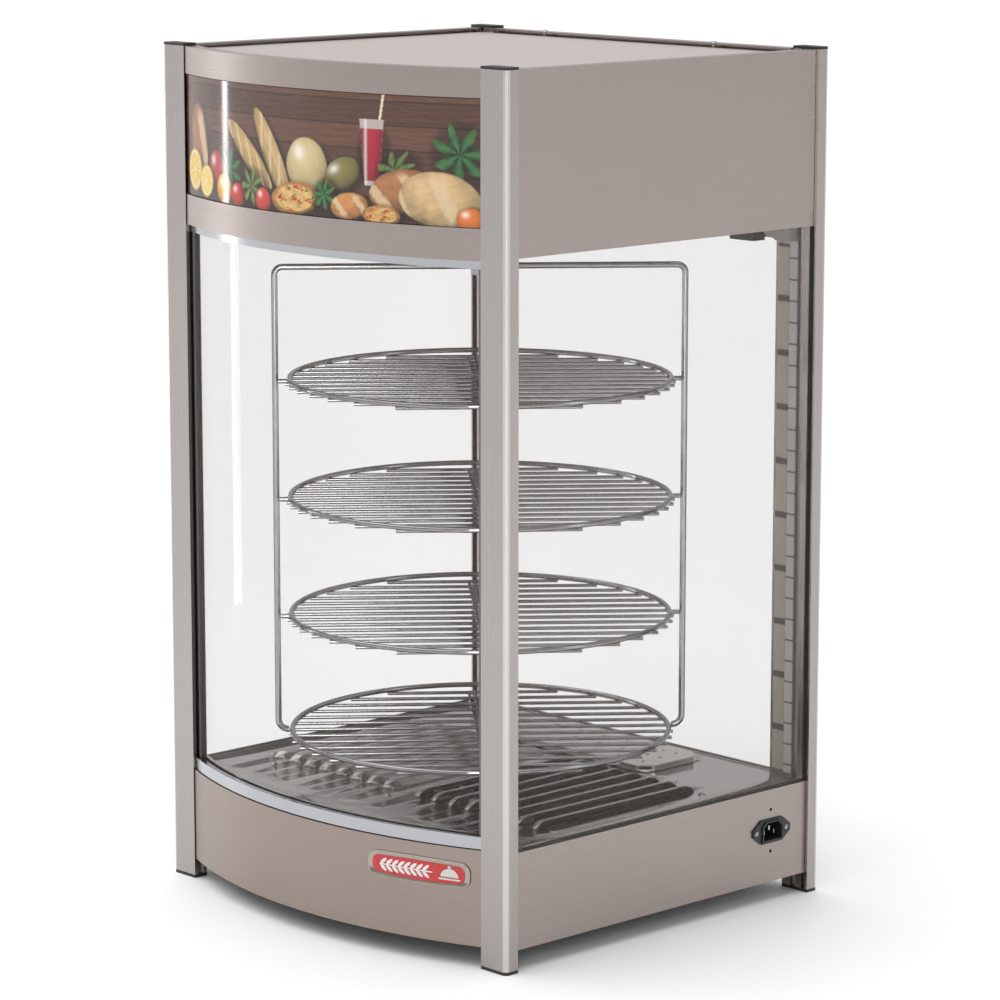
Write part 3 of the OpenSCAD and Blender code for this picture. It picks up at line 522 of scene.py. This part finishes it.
def floor_sheet(lip_x, vent, pan, floor_z):
    """Flat floor: a grid of lines in x and y whose first line follows the bowed front.

    Cells inside a louvre's slot or the pan's cut-out, and cells past the posts, are left out.
    """
    low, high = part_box("floor_plate")
    shoulder = POST[0].x - POST_GAP
    past_lip = 1.5 * MM
    slots = [(x - SLOT_W, x + past_lip) if x > 0 else (x - past_lip, x + SLOT_W) for x in lip_x]
    xs = np.concatenate([np.ravel(slots), [low.x, -shoulder, pan[0].x, pan[1].x, shoulder, high.x],
                         np.linspace(-shoulder, shoulder, 25)])
    xs = np.unique(xs.round(6))
    front = POST[1].y + POST_GAP
    back = 2 * CASE_MIDDLE_Y - front
    slot_y = (vent[0] + SLOT_END, vent[1] - SLOT_END)
    ys = np.unique(np.round([front, *slot_y, pan[0].y, pan[1].y, back, high.y], 6))
    bow = BOW_Y - np.sqrt((BOW_R - FLOOR_FRONT_INSET) ** 2 - xs ** 2)
    grid_y = np.vstack([np.minimum(bow, front), np.repeat(ys[:, None], len(xs), 1)])
    grid_x = np.broadcast_to(xs, grid_y.shape)
    points = np.stack([grid_x, grid_y, np.full(grid_y.shape, floor_z)], -1).reshape(-1, 3)
    faces = grid_faces(*grid_y.shape)[:, ::-1]
    centre = points[faces].mean(1)
    keep = ~((np.abs(centre[:, 0]) > shoulder) & ((centre[:, 1] < front) | (centre[:, 1] > ys[-2])))
    for left, right in slots:
        keep &= ~((centre[:, 0] > left) & (centre[:, 0] < right)
                  & (centre[:, 1] > slot_y[0]) & (centre[:, 1] < slot_y[1]))
    keep &= ~((centre[:, 0] > pan[0].x) & (centre[:, 0] < pan[1].x)
              & (centre[:, 1] > pan[0].y) & (centre[:, 1] < pan[1].y))
    return points, faces[keep]


def louvre_hood(lip_x, vent, height, floor_z):
    """Louvre: an arch z(r) falling from the lip, carried along the lip and swung down round its ends."""
    root = math.sqrt(HOOD_ARCH_R ** 2 - (HOOD_ARCH_R - height) ** 2)
    r = np.concatenate([[0, 0.4 * MM], np.sin(np.linspace(0, math.pi / 2, 8)[1:]) * root])
    rise = np.sqrt(HOOD_ARCH_R ** 2 - r ** 2) - HOOD_ARCH_R + height
    turn = np.linspace(math.pi / 2, 0, 7)
    run = np.linspace(vent[0] + root, vent[1] - root, 9)
    path_y = np.concatenate([np.full(7, run[0]), run[1:-1], np.full(7, run[-1])])
    angle = np.concatenate([-turn, np.zeros(len(run) - 2), turn[::-1]])
    side = 1 if lip_x > 0 else -1
    x = lip_x - side * np.cos(angle)[:, None] * r
    y = path_y[:, None] + np.sin(angle)[:, None] * r
    z = floor_z + np.broadcast_to(rise, x.shape)
    points = np.stack([x, y, z], -1).reshape(-1, 3)
    faces = grid_faces(*x.shape)
    return points, faces[:, ::-1] if side < 0 else faces


class CASE_OT_make_floor(bpy.types.Operator):
    """Bright floor of the chamber with two vents of louvres that open outwards, with painted shade: a black
    sheet under each hood
    """
    bl_idname = "case.make_floor"
    bl_label = "Make the vented floor"

    def execute(self, context):
        floor_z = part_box("water_pan")[1].z - 1 * MM
        lips = [side * (FIRST_LOUVRE_X + i * looks().louvre_pitch)
                for side in (-1, 1) for i in range(looks().louvre_count)]
        pan_low, pan_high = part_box("water_pan")
        rim = Vector((PAN_RIM, PAN_RIM, 0))
        pan = (pan_low + rim, pan_high - rim)
        rolled = grained_metal("bright_floor", looks().floor_colour, ALONG_X, rough=(0.11, 0.17),
                               strength=0.03)
        floor = make_piece("vented_floor", *floor_sheet(lips, VENT_Y, pan, floor_z), "case",
                           "bright_stainless", rolled)
        solidify(floor, FLOOR_WALL)
        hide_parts("floor_plate")
        height = looks().louvre_height
        hoods = [louvre_hood(x, VENT_Y, height, floor_z) for x in lips]
        points, faces = join_parts(hoods)
        # Painted shade: the hoods' skin is the floor's colour made 15 % darker; their lips take a painted
        # highlight
        pressed = lip_highlight_metal("louvre_shade_and_highlight", shade(looks().floor_colour, 0.85), (0.72, 0.70, 0.68))
        hood = make_piece("louvre_hoods", points, faces, "case", "bright_stainless", pressed)
        columns = len(hoods[0][0]) // 21
        lip = np.zeros((len(points) // columns, columns))
        # The first row of each hood, its lip, carries the painted highlight
        lip[:, 0] = 1.0
        layer = hood.data.attributes.new("lip", "FLOAT", "POINT")
        layer.data.foreach_set("value", lip.ravel())
        solidify(hood, HOOD_WALL)
        # Painted shade: a black sheet just under each hood darkens the louvre's mouth, where the cavity below
        # lies in shade
        under, behind = 1 * MM, 0.6 * MM
        inner_vent = (VENT_Y[0] + under, VENT_Y[1] - under)
        shade_sheets = [louvre_hood(x - math.copysign(behind, x), inner_vent, height - under, floor_z)
                   for x in lips]
        shade_paint = moulded("louvre_painted_shade", (0.010, 0.009, 0.009))
        shade_sheet = make_piece("louvre_shade_sheets", *join_parts(shade_sheets), "case", "bright_stainless", shade_paint)
        solidify(shade_sheet, SHADE_SHEET_WALL)
        return {"FINISHED"}


# ------------------------------------------------------------------ header picture

def ripples(x, z, size, seed):
    """Smooth mottle from -1 to 1: sines in turned directions, each pushed by the one before."""
    value, push, total = np.zeros_like(x), 0.0, 0.0
    for k in range(5):
        turn = seed * 1.7 + k * 2.4
        wave = np.sin((x * math.cos(turn) + z * math.sin(turn)) * 6.3 * 1.6 ** k / size
                      + push + seed * (k + 1.3))
        push = 1.4 * wave
        value += wave / 1.35 ** k
        total += 1 / 1.35 ** k
    return value / total


def blend_in(canvas, mask, colour):
    """Lays a colour over the canvas where the mask is up."""
    canvas += (np.asarray(colour) - canvas) * mask[..., None]


def soft(value, low, high):
    """Smooth step from 0 at low to 1 at high."""
    t = np.clip((value - low) / (high - low), 0, 1)
    return t * t * (3 - 2 * t)


def oval(x, z, middle, size, turn=0.0):
    """Coordinates u and v of an oval turned by degrees, and u squared plus v squared."""
    a = math.radians(turn)
    dx, dz = x - middle[0], z - middle[1]
    u = (dx * math.cos(a) + dz * math.sin(a)) / size[0]
    v = (dz * math.cos(a) - dx * math.sin(a)) / size[1]
    return u, v, u * u + v * v


def rounded(x, z, middle, size, turn, colour, seed, mottle=0.12, edge=0.1):
    """Dome-shaded oval: its mask, its colour, and its u and v."""
    u, v, q = oval(x, z, middle, size, turn)
    q = q * (1 + 0.05 * ripples(u, v, 2.2, seed))
    dome = np.sqrt(np.clip(1 - q, 0, 1))
    light = 0.38 + 0.62 * dome + 0.28 * v - 0.12 * u + mottle * ripples(u, v, 0.7, seed + 2)
    return 1 - soft(q, 1 - edge, 1), np.asarray(colour) * light[..., None], u, v


def fruit(canvas, x, z, middle, size, turn, colour, seed):
    """Shiny round fruit: a dome with one small highlight."""
    mask, shaded, u, v = rounded(x, z, middle, size, turn, colour, seed, 0.06)
    blend_in(canvas, mask, shaded)
    shine = np.exp(-((u + 0.35) ** 2 + (v - 0.45) ** 2) * 16)
    blend_in(canvas, mask * shine * 0.7, (0.9, 0.86, 0.8))


def loaf(canvas, x, z, middle, size, turn, colour, seed):
    """Crusty loaf: a dome that pales along slanted slashes."""
    mask, shaded, u, v = rounded(x, z, middle, size, turn, colour, seed, 0.2)
    blend_in(canvas, mask, shaded)
    slash = np.sin((u * 0.9 + v * 0.35) * 3.4 * max(1.0, size[0] / size[1]) + seed)
    pale = soft(slash + 0.25 * ripples(u, v, 0.5, seed), 0.35, 0.9) * (1 - soft(np.abs(v), 0.55, 0.95))
    blend_in(canvas, mask * pale * 0.8, (0.62, 0.47, 0.29))


def citrus(canvas, x, z, middle, size, turn, colour, seed):
    """Cut citrus: rind, white pith, and wedges of pulp between straight pale walls."""
    u, v, q = oval(x, z, middle, size, turn)
    radius = np.sqrt(q)
    wedge = np.abs(np.sin(np.arctan2(v, u) * 4.5 + seed))
    blend_in(canvas, 1 - soft(radius, 0.95, 1.0), np.asarray(colour) * 0.7)
    blend_in(canvas, 1 - soft(radius, 0.84, 0.9), (0.72, 0.66, 0.42))
    pulp = soft(wedge, 0.12, 0.3) * (1 - soft(radius, 0.76, 0.82)) * soft(radius, 0.08, 0.16)
    tone = 1 + 0.2 * ripples(u, v, 0.4, seed)
    blend_in(canvas, pulp, np.asarray(colour) * tone[..., None])


def flatbread(canvas, x, z, middle, size, turn, colour, seed):
    """Topped flat bread: a browned rim, melted cheese, and red and green patches."""
    mask, shaded, u, v = rounded(x, z, middle, size, turn, (0.42, 0.19, 0.06), seed, 0.25)
    blend_in(canvas, mask, shaded)
    inside = 1 - soft(np.hypot(u, v), 0.74, 0.84)
    tone = 0.9 + 0.25 * ripples(u, v, 0.5, seed)
    blend_in(canvas, inside, np.asarray(colour) * tone[..., None])
    blend_in(canvas, inside * soft(ripples(u, v, 0.75, seed + 4), 0.25, 0.4), (0.42, 0.05, 0.02))
    blend_in(canvas, inside * soft(ripples(u, v, 0.6, seed + 9), 0.45, 0.6), (0.07, 0.14, 0.03))


def leaves(canvas, x, z, middle, size, turn, colour, seed):
    """Bunch of leaves: lobes swing the radius, and light ribs run out from the middle."""
    u, v, q = oval(x, z, middle, size, turn)
    angle = np.arctan2(v, u)
    lobe = 0.72 + 0.24 * np.cos(angle * 7 + seed) + 0.08 * np.cos(angle * 15 + 2 * seed)
    mask = 1 - soft(np.sqrt(q) / lobe, 0.9, 1.0)
    light = 0.55 + 0.35 * np.cos(angle * 7 + seed) + 0.3 * ripples(u, v, 0.5, seed)
    blend_in(canvas, mask, np.asarray(colour) * np.clip(light, 0.15, 1.6)[..., None])


def tumbler(canvas, x, z, middle, size, turn, colour, seed):
    """Tall glass of juice: straight flared sides, a pale rim, bright edges and a straw."""
    u, v, _ = oval(x, z, middle, size, turn)
    straw = np.abs(u - 0.25 - 0.35 * v) < 0.09
    blend_in(canvas, straw * (v > 0.6) * (v < 1.75) * 0.9, (0.72, 0.60, 0.42))
    half = 0.72 + 0.2 * v
    body = (1 - soft(np.abs(u) / half, 0.94, 1.0)) * (np.abs(v) < 1)
    blend_in(canvas, body, (0.42, 0.36, 0.34))
    light = 1.1 - 0.75 * np.abs(u) + 0.2 * v
    blend_in(canvas, body * (v < 0.72) * (v > -0.86), np.asarray(colour) * light[..., None])
    blend_in(canvas, body * np.exp(-((u + 0.45) * 9) ** 2) * 0.55, (0.85, 0.78, 0.74))


# Kind, middle (arc, height) and half size in mm, turn in degrees and colour, from back to front
TABLE = (
    (loaf, (-168, 50), (21, 38), 8, (0.30, 0.12, 0.06)),
    (loaf, (-66, 48), (46, 11), -38, (0.46, 0.30, 0.12)),
    (loaf, (-30, 50), (48, 12), -58, (0.50, 0.33, 0.14)),
    (fruit, (18, 44), (27, 25), 0, (0.56, 0.44, 0.22)),
    (fruit, (62, 40), (22, 14), 20, (0.20, 0.17, 0.05)),
    (tumbler, (96, 60), (15, 29), 0, (0.34, 0.012, 0.03)),
    (leaves, (186, 62), (27, 31), 70, (0.05, 0.15, 0.05)),
    (leaves, (120, 46), (24, 16), 30, (0.13, 0.19, 0.06)),
    (leaves, (-100, 32), (20, 22), 60, (0.05, 0.17, 0.05)),
    (fruit, (-128, 30), (16, 17), 0, (0.42, 0.04, 0.03)),
    (citrus, (-181, 25), (19, 20), 0, (0.72, 0.44, 0.04)),
    (citrus, (-151, 17), (16, 15), 30, (0.75, 0.52, 0.07)),
    (fruit, (-112, 13), (15, 14), 0, (0.74, 0.36, 0.02)),
    (fruit, (-86, 10), (13, 11), 0, (0.50, 0.03, 0.02)),
    (leaves, (-62, 20), (19, 18), 20, (0.17, 0.24, 0.06)),
    (fruit, (-44, 9), (12, 11), 0, (0.55, 0.05, 0.04)),
    (flatbread, (2, 14), (33, 15), 4, (0.66, 0.42, 0.14)),
    (leaves, (40, 20), (15, 14), 50, (0.05, 0.19, 0.05)),
    (loaf, (70, 12), (22, 12), 6, (0.50, 0.22, 0.07)),
    (loaf, (128, 28), (36, 19), 10, (0.36, 0.15, 0.06)),
    (loaf, (166, 22), (42, 25), -6, (0.56, 0.38, 0.19)),
    (flatbread, (106, 6), (21, 9), 0, (0.62, 0.36, 0.12)),
    (fruit, (196, 6), (14, 11), 0, (0.60, 0.16, 0.03)),
)


def planks(x, z):
    """Dark boards: long grain streaks, a tone for each board, and dark joints between them."""
    board = np.floor(z / BOARD_H)
    grain = ripples(x * 0.06, z, 5.0, 3.1) * 0.5 + ripples(x * 0.03, z, 1.6, 7.7) * 0.5
    tone = 0.75 + 0.14 * np.sin(board * 2.7) + 0.3 * grain
    joint = soft(np.abs(z / BOARD_H - np.round(z / BOARD_H)), 0.0, 0.05)
    shade_off = (0.7 + 0.3 * soft(z, 0, 60)) * (0.25 + 0.75 * joint)
    return np.array((0.135, 0.062, 0.040)) * (tone * shade_off)[..., None]


PICTURE_INSET = 1.2 * MM
PICTURE_WALL = 3 * MM
BOARD_H = 21.0


def picture_slab(low, high, step):
    """Bent slab: a fine grid (arc, height) on its face, closed by strips and two end caps."""
    half = BOW_R * math.asin(high.x / BOW_R)
    s = np.linspace(-half, half, int(2 * half / step))
    z = np.linspace(low.z, high.z, int((high.z - low.z) / step))
    grid_s, grid_z = np.meshgrid(s, z)
    rows, cols = grid_s.shape
    front = bent(grid_s, grid_z, -PICTURE_INSET).reshape(-1, 3)
    back = np.concatenate([bent(s, end, -PICTURE_INSET - PICTURE_WALL) for end in (low.z, high.z)])
    n, j = rows * cols, np.arange(cols - 1)
    top = (rows - 1) * cols
    strips = np.concatenate([
        np.stack([j, n + j, n + j + 1, j + 1], 1)[:, ::-1],
        np.stack([top + j, n + cols + j, n + cols + j + 1, top + j + 1], 1),
        np.stack([n + j, n + cols + j, n + cols + j + 1, n + j + 1], 1)[:, ::-1]])
    left = [*range(0, n, cols), n + cols, n]
    right = [*range(cols - 1, n, cols), n + 2 * cols - 1, n + cols - 1]
    faces = np.concatenate([grid_faces(rows, cols), strips]).tolist() + [left[::-1], right]
    return np.concatenate([front, back]), faces, grid_s / MM, (grid_z - low.z) / MM


class CASE_OT_make_picture(bpy.types.Operator):
    """Printed panel of the header: bread, fruit and a drink before dark boards"""
    bl_idname = "case.make_picture"
    bl_label = "Make the header picture"

    def execute(self, context):
        low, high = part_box("graphic_panel")
        points, faces, x, z = picture_slab(low, high, looks().picture_step)
        canvas = planks(x, z)
        for seed, (kind, middle, size, turn, colour) in enumerate(TABLE):
            shadow = oval(x, z, (middle[0] + 3, middle[1] - 3), (size[0] + 7, size[1] + 6), turn)[2]
            canvas *= 1 - 0.55 * (1 - soft(shadow, 0.5, 1.0))[..., None]
            kind(canvas, x, z, middle, size, turn, colour, seed * 1.3)
        canvas = np.clip(canvas, 0.003, 1).reshape(-1, 3)
        edge = np.full((len(points) - len(canvas), 3), 0.05)
        colours = np.ones((len(points), 4))
        colours[:, :3] = np.concatenate([canvas, edge])
        material, nodes, links, shader = material_nodes("printed_acrylic")
        ink = nodes.new("ShaderNodeAttribute")
        ink.attribute_name = "ink"
        links.new(ink.outputs["Color"], shader.inputs["Base Color"])
        haze = object_noise(nodes, links, 14.0, detail=3.0)
        links.new(spread(nodes, links, haze, 0.3, 0.7, 0.06, 0.12), shader.inputs["Roughness"])
        panel = make_piece("header_picture", points, faces, "case", "printed_acrylic", material)
        layer = panel.data.color_attributes.new("ink", "FLOAT_COLOR", "POINT")
        layer.data.foreach_set("color", colours.ravel())
        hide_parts("graphic_panel")
        return {"FINISHED"}


# ------------------------------------------------------------------ badge

BADGE_ARC = 16.3 * math.pi / 180 * BOW_R
BADGE_Z = 82.5 * MM


def outline(half_s, half_z, radius, bow=0.0):
    """Rounded rectangle with 8 points a corner; its long sides rise by bow in the middle."""
    turn = np.linspace(0, math.pi / 2, 8)
    corner = np.stack([half_s - radius + radius * np.cos(turn), half_z - radius + radius * np.sin(turn)], 1)
    top = np.stack([np.linspace(half_s - radius, radius - half_s, 13)[1:-1], np.full(11, half_z)], 1)
    upper = np.concatenate([corner, top, corner[::-1] * (-1, 1)])
    loop = np.concatenate([upper, upper * (-1, -1)])
    loop[:, 1] += np.sign(loop[:, 1]) * bow * (1 - (loop[:, 0] / half_s) ** 2)
    return loop


def medal(loops, heights, middle=(0.0, 0.0)):
    """Raised shape on the fascia: matching loops joined ring to ring, closed by a point each end."""
    loops = np.asarray(loops) + middle
    count = loops.shape[1]
    ring_z = np.repeat(np.asarray(heights, float)[:, None], count, 1)
    points = bent(BADGE_ARC + loops[..., 0], BADGE_Z + loops[..., 1], ring_z).reshape(-1, 3)
    ends = np.array([loops[0].mean(0), loops[-1].mean(0)])
    caps = bent(BADGE_ARC + ends[:, 0], BADGE_Z + ends[:, 1], np.array([heights[0], heights[-1]]))
    i = np.arange(count)
    k = (i + 1) % count
    rings = [np.stack([a * count + i, a * count + k, (a + 1) * count + k, (a + 1) * count + i], 1)
             for a in range(len(heights) - 1)]
    n = len(points)
    base = np.stack([k, i, np.full(count, n)], 1)
    crown = np.stack([i, k, np.full(count, n + 1)], 1)
    crown[:, :2] += n - count
    return np.concatenate([points, caps]), [*np.concatenate(rings).tolist(), *base.tolist(), *crown.tolist()]


def raised(loop, low, high, middle=(0.0, 0.0)):
    """Shape with a rounded upper edge, from height low to high."""
    centre = loop.mean(0)
    loops = [centre + (loop - centre) * k for k in (1.0, 1.0, 0.96, 0.86, 0.5)]
    return medal(loops, [low, high - 0.15 * MM, high - 0.04 * MM, high, high], middle)


def leaf_loop(length, width, turn):
    """Pointed leaf: two arcs z = width sin(t) over its length, turned by degrees."""
    t = np.linspace(0, math.pi, 9)
    x = length * (1 - np.cos(t)) / 2
    z = width * np.sin(t) ** 1.3
    loop = np.concatenate([np.stack([x, -z], 1), np.stack([x, z], 1)[-2:0:-1]])
    a = math.radians(turn)
    return loop @ np.array([[math.cos(a), math.sin(a)], [-math.sin(a), math.cos(a)]])


class CASE_OT_make_badge(bpy.types.Operator):
    """Plaque of the fascia: a steel plate, a red field, an ear of wheat and a dish cover"""
    bl_idname = "case.make_badge"
    bl_label = "Make the badge"

    def execute(self, context):
        steel = grained_metal("badge_steel", (0.42, 0.37, 0.32), HORIZONTAL, rough=(0.2, 0.3))
        bright = polished("badge_bright", (0.62, 0.60, 0.57), rough=(0.2, 0.3))
        red = enamelled("badge_red", looks().badge_colour)
        white = enamelled("badge_white", (0.72, 0.71, 0.69), rough=(0.25, 0.35))
        profile = ((0.0, 0.05), (0.0, 1.3), (0.35, 1.7), (0.9, 1.85), (1.5, 1.7), (1.9, 1.25), (6.0, 1.2))
        loops = [outline(53 * MM - w * MM, 11 * MM - w * MM, (8 - w * 0.8) * MM, 1.5 * MM)
                 for w, _ in profile]
        points, faces = medal(loops, [d * MM for _, d in profile])
        plate = make_piece("badge_plate", points, faces, "case", "brushed_stainless", steel)
        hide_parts("fascia_badge")
        field = raised(outline(48 * MM, 7.6 * MM, 6 * MM, 1.2 * MM), 1.1 * MM, 1.6 * MM)
        make_piece("badge_field", *field, "case", "badge_red", red)
        stem = [raised(outline(28 * MM, 0.6 * MM, 0.5 * MM), 1.5 * MM, 1.9 * MM, (-12 * MM, 0))]
        for i in range(8):
            for side in (-1, 1):
                leaf = leaf_loop(8.6 * MM, 1.55 * MM, side * 38)
                stem.append(raised(leaf, 1.5 * MM, 1.95 * MM, ((-39 + 6.4 * i) * MM, side * 0.5 * MM)))
        make_piece("badge_wheat", *join_parts(stem), "case", "badge_red", white)
        t = np.linspace(0, math.pi, 25)
        dome = np.stack([9 * np.cos(t), 8 * np.sin(t) - 2.6], 1) * MM
        cover = [raised(dome, 1.5 * MM, 2.0 * MM, (33 * MM, 0)),
                 raised(outline(11 * MM, 0.9 * MM, 0.8 * MM), 1.5 * MM, 2.05 * MM, (33 * MM, -4.4 * MM)),
                 raised(outline(1.5 * MM, 1.4 * MM, 1.3 * MM), 1.5 * MM, 2.05 * MM, (33 * MM, 6.6 * MM))]
        make_piece("badge_cover", *join_parts(cover), "case", "brushed_stainless", bright)
        return {"FINISHED"}


# ------------------------------------------------------------------ door seal strip

class CASE_OT_make_door_strip(bpy.types.Operator):
    """Pale seal strips on the door's inner stiles, with dark clips"""
    bl_idname = "case.make_door_strip"
    bl_label = "Make the door strips"

    def execute(self, context):
        low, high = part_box("door_frame")
        across = np.array([-16.9, -16.9, -16.2, -10.6, -10.2, -9.8, -3.6, -2.9, -2.9]) * MM
        proud = np.array([0.0, 0.45, 0.6, 0.6, 0.35, 0.6, 0.6, 0.45, 0.0]) * MM
        end_gap = 14 * MM
        heights = np.array([low.z + end_gap, high.z - end_gap])
        x = high.x + across[None, :] + np.zeros((2, 1))
        y = low.y - 0.02 * MM - proud[None, :] + np.zeros((2, 1))
        z = np.repeat(heights[:, None], len(across), 1)
        right = np.stack([x, y, z], -1).reshape(-1, 3)
        count = len(across)
        loop = np.arange(count)
        faces = grid_faces(2, count)[:, ::-1].tolist()
        faces += [[0, count, 2 * count - 1, count - 1], loop.tolist(), (loop[::-1] + count).tolist()]
        points, faces = join_parts([(right, faces), (right * (-1, 1, 1), [f[::-1] for f in faces])])
        pale = ticked("seal_strip", (0.40, 0.36, 0.30), (0.07, 0.06, 0.052), 51 * MM, 5.5 * MM)
        make_piece("door_strips", points, faces, "door", "strip_grey", pale, smooth=False)
        return {"FINISHED"}


# ------------------------------------------------------------------ stage

CAMERA_AZIMUTH = 46.96
CAMERA_ELEVATION = 10.03
CAMERA_DISTANCE = 3.696
CAMERA_AIM_HEIGHT = 0.388
CAMERA_LENS = 142.0
CAMERA_YAW = 0.1016
CAMERA_PITCH = -0.2875
FLOOR_HALF = 40.0


class CASE_OT_make_stage(bpy.types.Operator):
    """Plain pale floor, soft studio light and the camera"""
    bl_idname = "case.make_stage"
    bl_label = "Make the stage"

    def floor(self):
        material, nodes, links, shader = material_nodes("studio_floor")
        shader.inputs["Base Color"].default_value = (0.93, 0.93, 0.935, 1)
        shader.inputs["Roughness"].default_value = 0.55
        mesh = bpy.data.meshes.new("studio_floor")
        corners = [(x * FLOOR_HALF, y * FLOOR_HALF, 0) for x, y in ((-1, -1), (1, -1), (1, 1), (-1, 1))]
        mesh.from_pydata(corners, [], [(0, 1, 2, 3)])
        floor = bpy.data.objects.new("studio_floor", mesh)
        mesh.materials.append(material)
        bpy.context.scene.collection.objects.link(floor)

    def light(self, name, kind, energy, place, aim, size, size_y=0.0):
        data = bpy.data.lights.new(name, kind)
        data.energy = energy
        if kind == "AREA":
            data.shape = "RECTANGLE"
            data.size = size
            data.size_y = size_y
        else:
            data.angle = math.radians(size)
        lamp = bpy.data.objects.new(name, data)
        direction = Vector(aim) - Vector(place)
        turn = direction.to_track_quat("-Z", "Y").to_matrix().to_4x4()
        lamp.matrix_world = Matrix.Translation(place) @ turn
        lamp.visible_camera = False
        bpy.context.scene.collection.objects.link(lamp)

    def camera(self):
        azimuth, elevation = math.radians(CAMERA_AZIMUTH), math.radians(CAMERA_ELEVATION)
        back = Vector((math.sin(azimuth) * math.cos(elevation), -math.cos(azimuth) * math.cos(elevation),
                       math.sin(elevation)))
        middle = Vector((0, CASE_MIDDLE_Y, CAMERA_AIM_HEIGHT))
        data = bpy.data.cameras.new("camera")
        data.lens = CAMERA_LENS
        data.sensor_width = 36.0
        data.clip_end = 200.0
        camera = bpy.data.objects.new("camera", data)
        place = middle + back * CAMERA_DISTANCE
        right = Vector((math.cos(azimuth), math.sin(azimuth), 0))
        up = right.cross(-back).normalized()
        yaw, pitch = math.radians(CAMERA_YAW), math.radians(CAMERA_PITCH)
        forward = (-back * math.cos(yaw) * math.cos(pitch) + right * math.sin(yaw) * math.cos(pitch)
                   + up * math.sin(pitch)).normalized()
        right = forward.cross(up).normalized()
        up = right.cross(forward)
        turn = Matrix((right, up, -forward)).transposed().to_4x4()
        camera.matrix_world = Matrix.Translation(place) @ turn
        bpy.context.scene.collection.objects.link(camera)
        bpy.context.scene.camera = camera

    def world(self):
        """Grey surround: dim towards the camera and low down, bright above and behind."""
        world = bpy.data.worlds.new("studio")
        world.use_nodes = True
        nodes, links = world.node_tree.nodes, world.node_tree.links
        background = nodes["Background"]
        place = nodes.new("ShaderNodeTexCoord")
        split = nodes.new("ShaderNodeSeparateXYZ")
        links.new(place.outputs["Generated"], split.inputs["Vector"])
        away = nodes.new("ShaderNodeVectorMath")
        away.operation = "DOT_PRODUCT"
        azimuth = math.radians(CAMERA_AZIMUTH)
        away.inputs[1].default_value = (-math.sin(azimuth), math.cos(azimuth), 0)
        links.new(place.outputs["Generated"], away.inputs[0])
        sky = ramp(nodes, links, spread(nodes, links, split.outputs["Z"], -1.0, 1.0, 0.0, 1.0), [
            (0.0, (0.30, 0.30, 0.30)), (0.48, (0.40, 0.40, 0.41)), (0.62, (0.75, 0.75, 0.76)),
            (1.0, (1.0, 1.0, 1.0))])
        links.new(sky, background.inputs["Color"])
        links.new(spread(nodes, links, away.outputs["Value"], -1.0, 0.6, 0.35, 1.0),
                  background.inputs["Strength"])
        bpy.context.scene.world = world

    def execute(self, context):
        self.floor()
        self.world()
        self.camera()
        self.light("sun", "SUN", 1.9, (-0.6, -1.1, 4.0), (0, 0, 0), size=75)
        self.light("left_strip", "AREA", 2.6, (-1.43, -0.56, 0.75), (-0.1, -0.2, 0.75), 0.055, 1.5)
        self.light("left_softbox", "AREA", 0.8, (-2.6, -2.4, 1.6), (0, 0, 0.45), 0.5, 2.4)
        self.light("right_softbox", "AREA", 9, (3.4, 0.9, 1.5), (0, 0, 0.4), 0.8, 2.2)
        self.light("camera_strip", "AREA", 20, (2.1, -2.1, 0.95), (0, 0, 0.45), 0.45, 1.9)
        context.scene.view_settings.view_transform = "Standard"
        return {"FINISHED"}


# ------------------------------------------------------------------ add-on

OPERATORS = (
    CASE_OT_make_stage, CASE_OT_finish_panels, CASE_OT_finish_posts, CASE_OT_finish_glass,
    CASE_OT_finish_rack, CASE_OT_finish_fittings, CASE_OT_make_floor, CASE_OT_make_picture,
    CASE_OT_make_badge, CASE_OT_make_door_strip,
)


class CASE_PT_panel(bpy.types.Panel):
    """Lists the case's pieces"""
    bl_idname = "CASE_PT_panel"
    bl_label = "Hot food display case"
    bl_space_type = "VIEW_3D"
    bl_region_type = "UI"
    bl_category = "Display case"

    def draw(self, context):
        for name in CaseLooks.__annotations__:
            self.layout.prop(context.scene.case_looks, name)
        for operator in OPERATORS:
            self.layout.operator(operator.bl_idname)


CLASSES = (CaseLooks, *OPERATORS, CASE_PT_panel)


def register():
    for cls in CLASSES:
        bpy.utils.register_class(cls)
    bpy.types.Scene.case_looks = PointerProperty(type=CaseLooks)


def unregister():
    del bpy.types.Scene.case_looks
    for cls in reversed(CLASSES):
        bpy.utils.unregister_class(cls)


def main():
    register()
    for operator in OPERATORS:
        group, name = operator.bl_idname.split(".")
        getattr(getattr(bpy.ops, group), name)()


if __name__ == "__main__":
    main()
